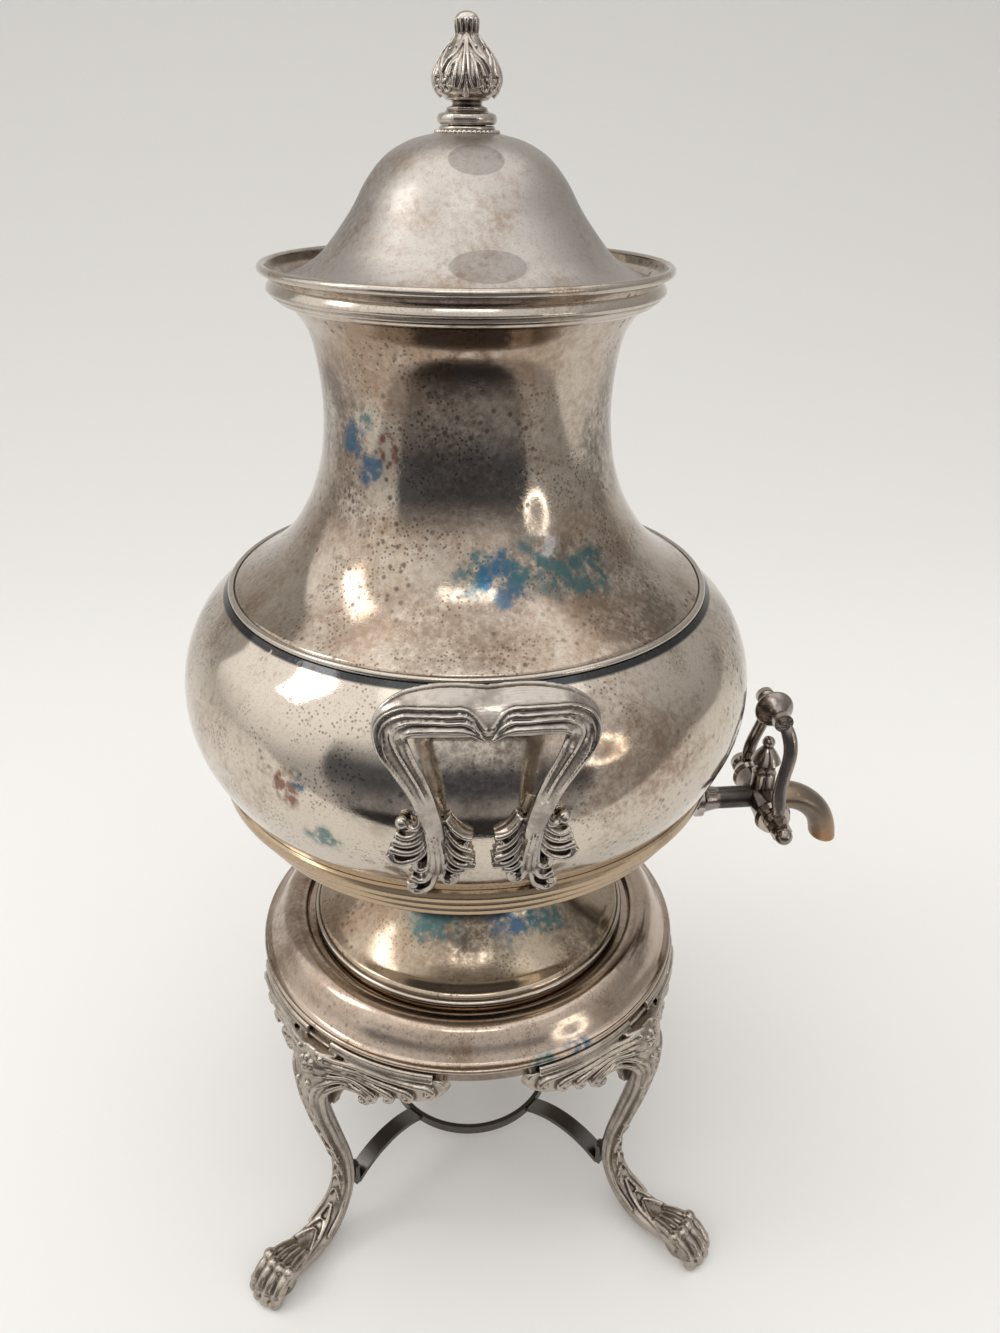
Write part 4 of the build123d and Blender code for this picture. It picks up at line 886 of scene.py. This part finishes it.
def strap_point(k, share, lift, inset):
    """A point on the face of the strap at station k; inset keeps a thick strand inside the edge."""
    here, after = Vector(strap[k][0]), Vector(strap[min(k + 1, len(strap) - 1)][0])
    before = Vector(strap[max(k - 1, 0)][0])
    along = (after - before).normalized()
    sideways = along.cross(STRAP_FACE).normalized()
    out = sideways.cross(along)
    return here + sideways * share * (strap[k][1] / 2 - inset) + out * lift


def half_strap(side):
    """The strands of one half of the strap: its band, its reeds and the line along its edge."""
    lines = []
    halves = [half for place, width, half in strap]
    for share in BAND_SHARES:
        lines.append([(strap_point(k, share, dome(half, share), half), half)
                      for k, half in enumerate(halves)])
    for places, thick in reeds:
        line = []
        for k, share in enumerate(places, REED_START):
            face = halves[k] * sqrt(max(1 - max(abs(share) - 0.6, 0) ** 2 * 4, 0.1))
            swell = dome(halves[k], share) if abs(share) < 1 else 0.0
            line.append((strap_point(k, share, face + swell - REED_SUNK[k - REED_START], thick), thick))
        last = line[-1][0]
        line[-1] = (Vector((REEDS_MEET - thick, last.y, last.z)), thick * 0.8)
        lines.append(line)
    first = len(strap) - len(edge_shares)
    lines.append([(strap_point(k, share, halves[k] * 0.55, EDGE_INSET), EDGE_THICK)
                  for k, share in enumerate(edge_shares, first)])
    return [[(Vector((side * p.x, p.y, p.z)), r) for p, r in line] for line in lines]


handle_strands, handle_balls = [], []
for side in (-1, 1):
    fronds_laid, beads_laid = foot_ornament(side)
    handle_strands += fronds_laid + half_strap(side)
    handle_balls += beads_laid
HANDLE_TURN, HANDLE_VOXEL, HANDLE_EASE = -1.8, 0.40, 3
for name, node, turn in (("near_handle", "handle_right", 0), ("far_handle", "handle_left", 180)):
    casting(
        name, handle_strands, handle_balls, HANDLE_VOXEL, HANDLE_EASE, "handle", "urn", node, bmesh.new(),
        HANDLE_TURN + turn,
    )

# %% [markdown]
# The legs are the most carved part: a leaf spreads along the band to each side, a scroll borders it
# and runs down the leg's edges, a flower sits over the knee, small leaves fill the front of the
# shin, and four knuckled toes meet the table. A leg is drawn once, pointing along +X, and turned to
# its corner.

# %% Legs
BAND_R = 99.7
# the leg's middle line and size, from the knee to the paw: radius, height, width, depth
shin = [(100.5, 129.4, 24, 7), (105, 115, 19, 11), (105, 99, 14, 10), (99, 73, 11, 8.5), (92.5, 42, 11, 8),
        (96, 22, 11.5, 9), (107.5, 10, 14, 10), (123, 8, 16, 10.5), (137, 7.5, 18, 14)]


def on_band(angle, height, lift):
    """A point on the face of the leaf that runs along the band, angle in degrees from the leg."""
    out, turn = BAND_R + lift, radians(angle)
    return Vector((out * cos(turn), out * sin(turn), height))


def on_shin(step, share, lift):
    """A point on the front of the leg: step along its middle line, share across it (-1 to 1)."""
    k = min(int(step), len(shin) - 2)
    a, b = (Vector(shin[n][:2]) for n in (k, k + 1))
    sizes = [shin[k][n] + (shin[k + 1][n] - shin[k][n]) * (step - k) for n in (2, 3)]
    before = Vector(shin[max(k - 1, 0)][:2]).lerp(a, step - k)
    ahead = a.lerp(b, step - k)
    run = (b - before).normalized()
    out = Vector((-run.y, run.x))
    bulge = sqrt(1 - min(share * share, 0.96)) * sizes[1] / 2 + lift
    return Vector((ahead.x + out.x * bulge, share * sizes[0] / 2, ahead.y + out.y * bulge))


# fronds of the leaf along the band: two places on the knee (step down it, share across it), then
# places along the band (angle from the leg, height), and the thickness
wing_fronds = [
    ([(0.10, 0.25), (0.12, 0.80)], [(12, 128.4), (20, 128.0), (27, 126.9), (31.6, 124.8)], 1.25),
    ([(0.30, 0.35), (0.30, 0.88)], [(12.5, 125.2), (18, 124.4), (23, 123.0), (26.2, 120.8)], 1.4),
    ([(0.55, 0.40), (0.50, 0.92)], [(11.5, 122.2), (15.5, 121.3), (19, 119.6), (21.2, 117.4)], 1.4),
    ([(0.80, 0.45), (0.72, 0.96)], [(10.5, 119.0), (13.2, 117.9), (15.4, 115.9), (16.6, 113.8)], 1.25),
]
# what a frond does past its tip: degrees on, millimetres down, lift and share of its thickness
FROND_CURL = [(0.4, 2.0, 1.3, 1.0), (-0.6, 3.5, 1.3, 0.85), (-1.8, 2.8, 1.5, 0.7)]
WING_BEDS, WING_BED_ANGLES, WING_BED_THICK = ((129.9, 0.1), (132.2, -0.3)), (4, 9, 14, 20, 26, 32), 1.4
# strands down the shin (step, share, lift, thickness) and on along the band (angle, height, lift,
# thickness)
scroll = (
    [(6.2, 0.92, 0.2, 0.9), (5.0, 0.92, 0.4, 1.1), (4.0, 0.92, 0.5, 1.15), (3.0, 0.95, 0.5, 1.2),
     (2.0, 0.97, 0.5, 1.35), (1.4, 1.0, 0.5, 1.5)],
    [(7.2, 112.5, 3.4, 1.6), (11.0, 114.6, 2.0, 1.6), (14.6, 112.2, 1.4, 1.5), (15.0, 108.8, 1.2, 1.3),
     (12.6, 107.8, 1.4, 1.2)],
)
inner_line = (
    [(3.6, 0.45, 0.2, 0.6), (2.2, 0.5, 0.4, 0.85), (1.3, 0.58, 0.6, 1.1), (1.0, 0.95, 0.8, 1.2)],
    [(8.6, 116.6, 2.6, 1.25), (12.2, 115.0, 1.9, 1.1)],
)
shin_leaf = [(0.0, 0.08, 0.4, 0.5), (0.14, 0.34, 0.45, 0.8), (0.38, 0.52, 0.2, 0.45)]
# a toe's ridge and its two knuckles: (out from the axis, spread to the side, height, thickness)
toe = [(125.0, 0.62, 12.2, 1.7), (132.5, 0.85, 13.8, 2.1), (140.5, 1, 12.9, 2.4), (144.6, 1.05, 9.4, 2.3),
       (147.4, 1.07, 3.2, 2.7)]
knuckles = [(137.6, 1, 14.3, 3.15), (145.9, 1.05, 6.4, 3.05)]
TOE_GAP, TOE_BACK = 4.5, 1.6
PETALS, PETAL_R, FLOWER_R = 6, 1.6, 2.2


def leg_strand(way, down, along=()):
    """A strand on one side of a leg, way -1 or 1: down the shin, then along the band."""
    line = [(on_shin(step, way * share, lift), thick) for step, share, lift, thick in down]
    return line + [(on_band(way * angle, level, lift), thick) for angle, level, lift, thick in along]


def toe_row(row, side, back):
    """One toe's stations, spread to a side and drawn back from the middle."""
    return [(Vector((out - back, side * spread, level)), thick) for out, spread, level, thick in row]


def leg_ornament():
    """The strands and beads of one leg that points along +X."""
    strands, balls = [], []
    for way in (-1, 1):
        for on_knee, along_band, thick in wing_fronds:
            places = [on_shin(step, way * share, 0.5) for step, share in on_knee]
            places += [on_band(way * angle, level, 1.9 - 0.3 * n)
                       for n, (angle, level) in enumerate(along_band)]
            line = [(place, thick * (0.7 + 0.12 * n)) for n, place in enumerate(places)]
            tip, low = along_band[-1]
            line += [(on_band(way * (tip + on), low - down, lift), thick * share)
                     for on, down, lift, share in FROND_CURL]
            strands.append(line)
            balls.append((on_band(way * (tip - 0.9), low - 1.0, 1.8), 1.15))
        # the leaf's upper edge lies close under the wire of the band
        for level, lift in WING_BEDS:
            strands.append([(on_band(way * angle, level, lift), WING_BED_THICK) for angle in WING_BED_ANGLES])
        strands += [leg_strand(way, *scroll), leg_strand(way, *inner_line)]
        balls.append((on_band(way * 13.4, 110.0, 1.6), 1.7))
        balls.append((on_shin(0.22, way * 0.56, 0.8), 1.5))
        balls.append((on_shin(1.05, way * 0.30, 0.7), 1.2))
        # small leaves down the front, in pairs, and broader ones over the paw
        for n in range(9):
            start = 1.3 + n * 0.42
            strands.append(leg_strand(way, [(start + on, *rest) for on, *rest in shin_leaf]))
        for n in range(3):
            start = 5.2 + n * 0.5
            leaf = [(start, 0.1, 0.3, 0.6), (start + 0.5, 0.4 + 0.12 * n, 0.4, 1.0),
                    (start + 1.1, 0.62 + 0.1 * n, 0.2, 0.6)]
            strands.append(leg_strand(way, leaf))
    # the flower over the knee
    flower = on_shin(0.55, 0, 1.0)
    balls.append((flower, FLOWER_R))
    for n in range(PETALS):
        turn = radians(60 * n + 30)
        petal = Vector((-0.5 - 0.9 * sin(turn), 3.1 * cos(turn), 3.0 * sin(turn)))
        balls.append((flower + petal, PETAL_R))
    # four toes, each a knuckled ridge that bends down to the table
    for n in range(4):
        side, back = (n - 1.5) * TOE_GAP, abs(n - 1.5) * TOE_BACK
        strands.append(toe_row(toe, side, back))
        balls += toe_row(knuckles, side, back)
    return strands, balls


LEG_VOXEL, LEG_EASE, FIRST_LEG = 0.5, 2, 45
leg_strands, leg_balls = leg_ornament()
for n in range(4):
    name, node, turn = f"carved_leg_{n + 1}", f"leg_{n + 1}", FIRST_LEG + 90 * n
    casting(name, leg_strands, leg_balls, LEG_VOXEL, LEG_EASE, "leg", "stand", node, turn=turn)

# %% [markdown]
# The finial is a pear-shaped bud wrapped in four leaves. It is spun first, with the stud that holds
# it in the lid, and then carved: between two leaves runs a double rib that parts at the bottom, and
# on each side of it veins fan out and curl round a small hollow scroll. A fluted cap closes the top,
# and a ring of beads lies where the collar meets the lid.

# %% Finial
bud_outline = [
    (9.2, 482.6), (10.0, 483.3), (10.2, 484.6), (9.7, 485.8), (8.6, 486.3), (7.4, 486.6), (6.9, 487.2),
    (7.0, 487.7), (6.2, 488.1), (5.1, 488.5), (4.9, 489.1), (5.4, 489.6), (7.3, 490.0), (7.6, 490.6),
    (9.9, 492.0), (11.2, 496.1), (9.7, 501.0), (5.9, 505.3), (4.0, 508.1), (3.1, 509.8), (3.9, 512.5),
    (3.4, 514.3), (1.8, 515.3), (0, 515.7),
]
STUD_R, STUD_LOW = 2.0, 470.0


def on_bud(angle, level, lift):
    """A point on the bud at an angle in degrees, lifted off its surface."""
    radius, turn = radius_at(bud_outline, level) + lift, radians(angle)
    return Vector((radius * cos(turn), radius * sin(turn), level))


# the lines of half a leaf: (degrees from the rib, height) from top to bottom, and the thickness
bud_lines = [
    ([(3, 508.6), (4, 501), (6, 496), (13, 493.0)], 0.50),
    ([(11, 503.2), (18, 499.2), (20, 495.6), (23, 493.4)], 0.66),
    ([(18, 501.6), (28, 499.4), (31, 496.6)], 0.62),
    ([(12, 507.0), (26, 503.4), (38, 501.0), (45, 497.4), (45, 495.0), (40, 493.6)], 0.62),
    ([(7, 508.8), (20, 506.0), (30, 505.2)], 0.5),
]
LEAVES, FIRST_RIB = 4, -96
# the wedge where the rib parts: height and thickness
rib_foot = [(497.5, 0.35), (493.5, 0.8), (491.0, 1.1)]
SCROLL_STEPS, SCROLL_THICK = 8, 0.50
bud_strands, bud_balls = [], []
for n in range(LEAVES):
    rib = FIRST_RIB + 360 / LEAVES * n
    bud_strands.append([(on_bud(rib, level, 0.2), thick) for level, thick in rib_foot])
    for way in (-1, 1):
        for places, thick in bud_lines:
            line = []
            for k, (angle, level) in enumerate(places):
                share = k / (len(places) - 1)
                place = on_bud(rib + way * angle, level, 0.15 + 0.45 * share)
                line.append((place, thick * (0.75 + 0.45 * share)))
            bud_strands.append(line)
        loop = []
        for k in range(SCROLL_STEPS):
            turn = radians(110 - 42 * k)
            place = on_bud(rib + way * (35.5 + 6.4 * cos(turn)), 494.0 + 1.7 * sin(turn), 0.5)
            loop.append((place, SCROLL_THICK))
        bud_strands.append(loop)
FLUTES = 14
# a flute of the cap: height, lift and thickness
flute = [(508.8, 0.0, 0.35), (511.4, 0.2, 0.50), (513.4, 0.1, 0.55)]
for n in range(FLUTES):
    angle = FIRST_RIB + 360 / FLUTES * n
    bud_strands.append([(on_bud(angle, level, lift), thick) for level, lift, thick in flute])
ROPE_BEADS, ROPE_R, ROPE_H, ROPE_BEAD_R = 40, 10.5, 480.4, 0.9
for n in range(ROPE_BEADS):
    turn = 2 * pi * n / ROPE_BEADS
    bud_balls.append((Vector((ROPE_R * cos(turn), ROPE_R * sin(turn), ROPE_H)), ROPE_BEAD_R))

BUD_STEPS, BUD_VOXEL, BUD_EASE = 96, 0.24, 1
stud = [Vector((0, STUD_LOW, 0)), Vector((STUD_R, STUD_LOW, 0)), Vector((STUD_R, bud_outline[0][1], 0))]
bud = turn_line(stud + smooth_run(bud_outline), BUD_STEPS)
casting("leafed_finial", bud_strands, bud_balls, BUD_VOXEL, BUD_EASE, "finial", "lid", "finial", bud)
print("ornament strands:", len(handle_strands), len(leg_strands), len(bud_strands))
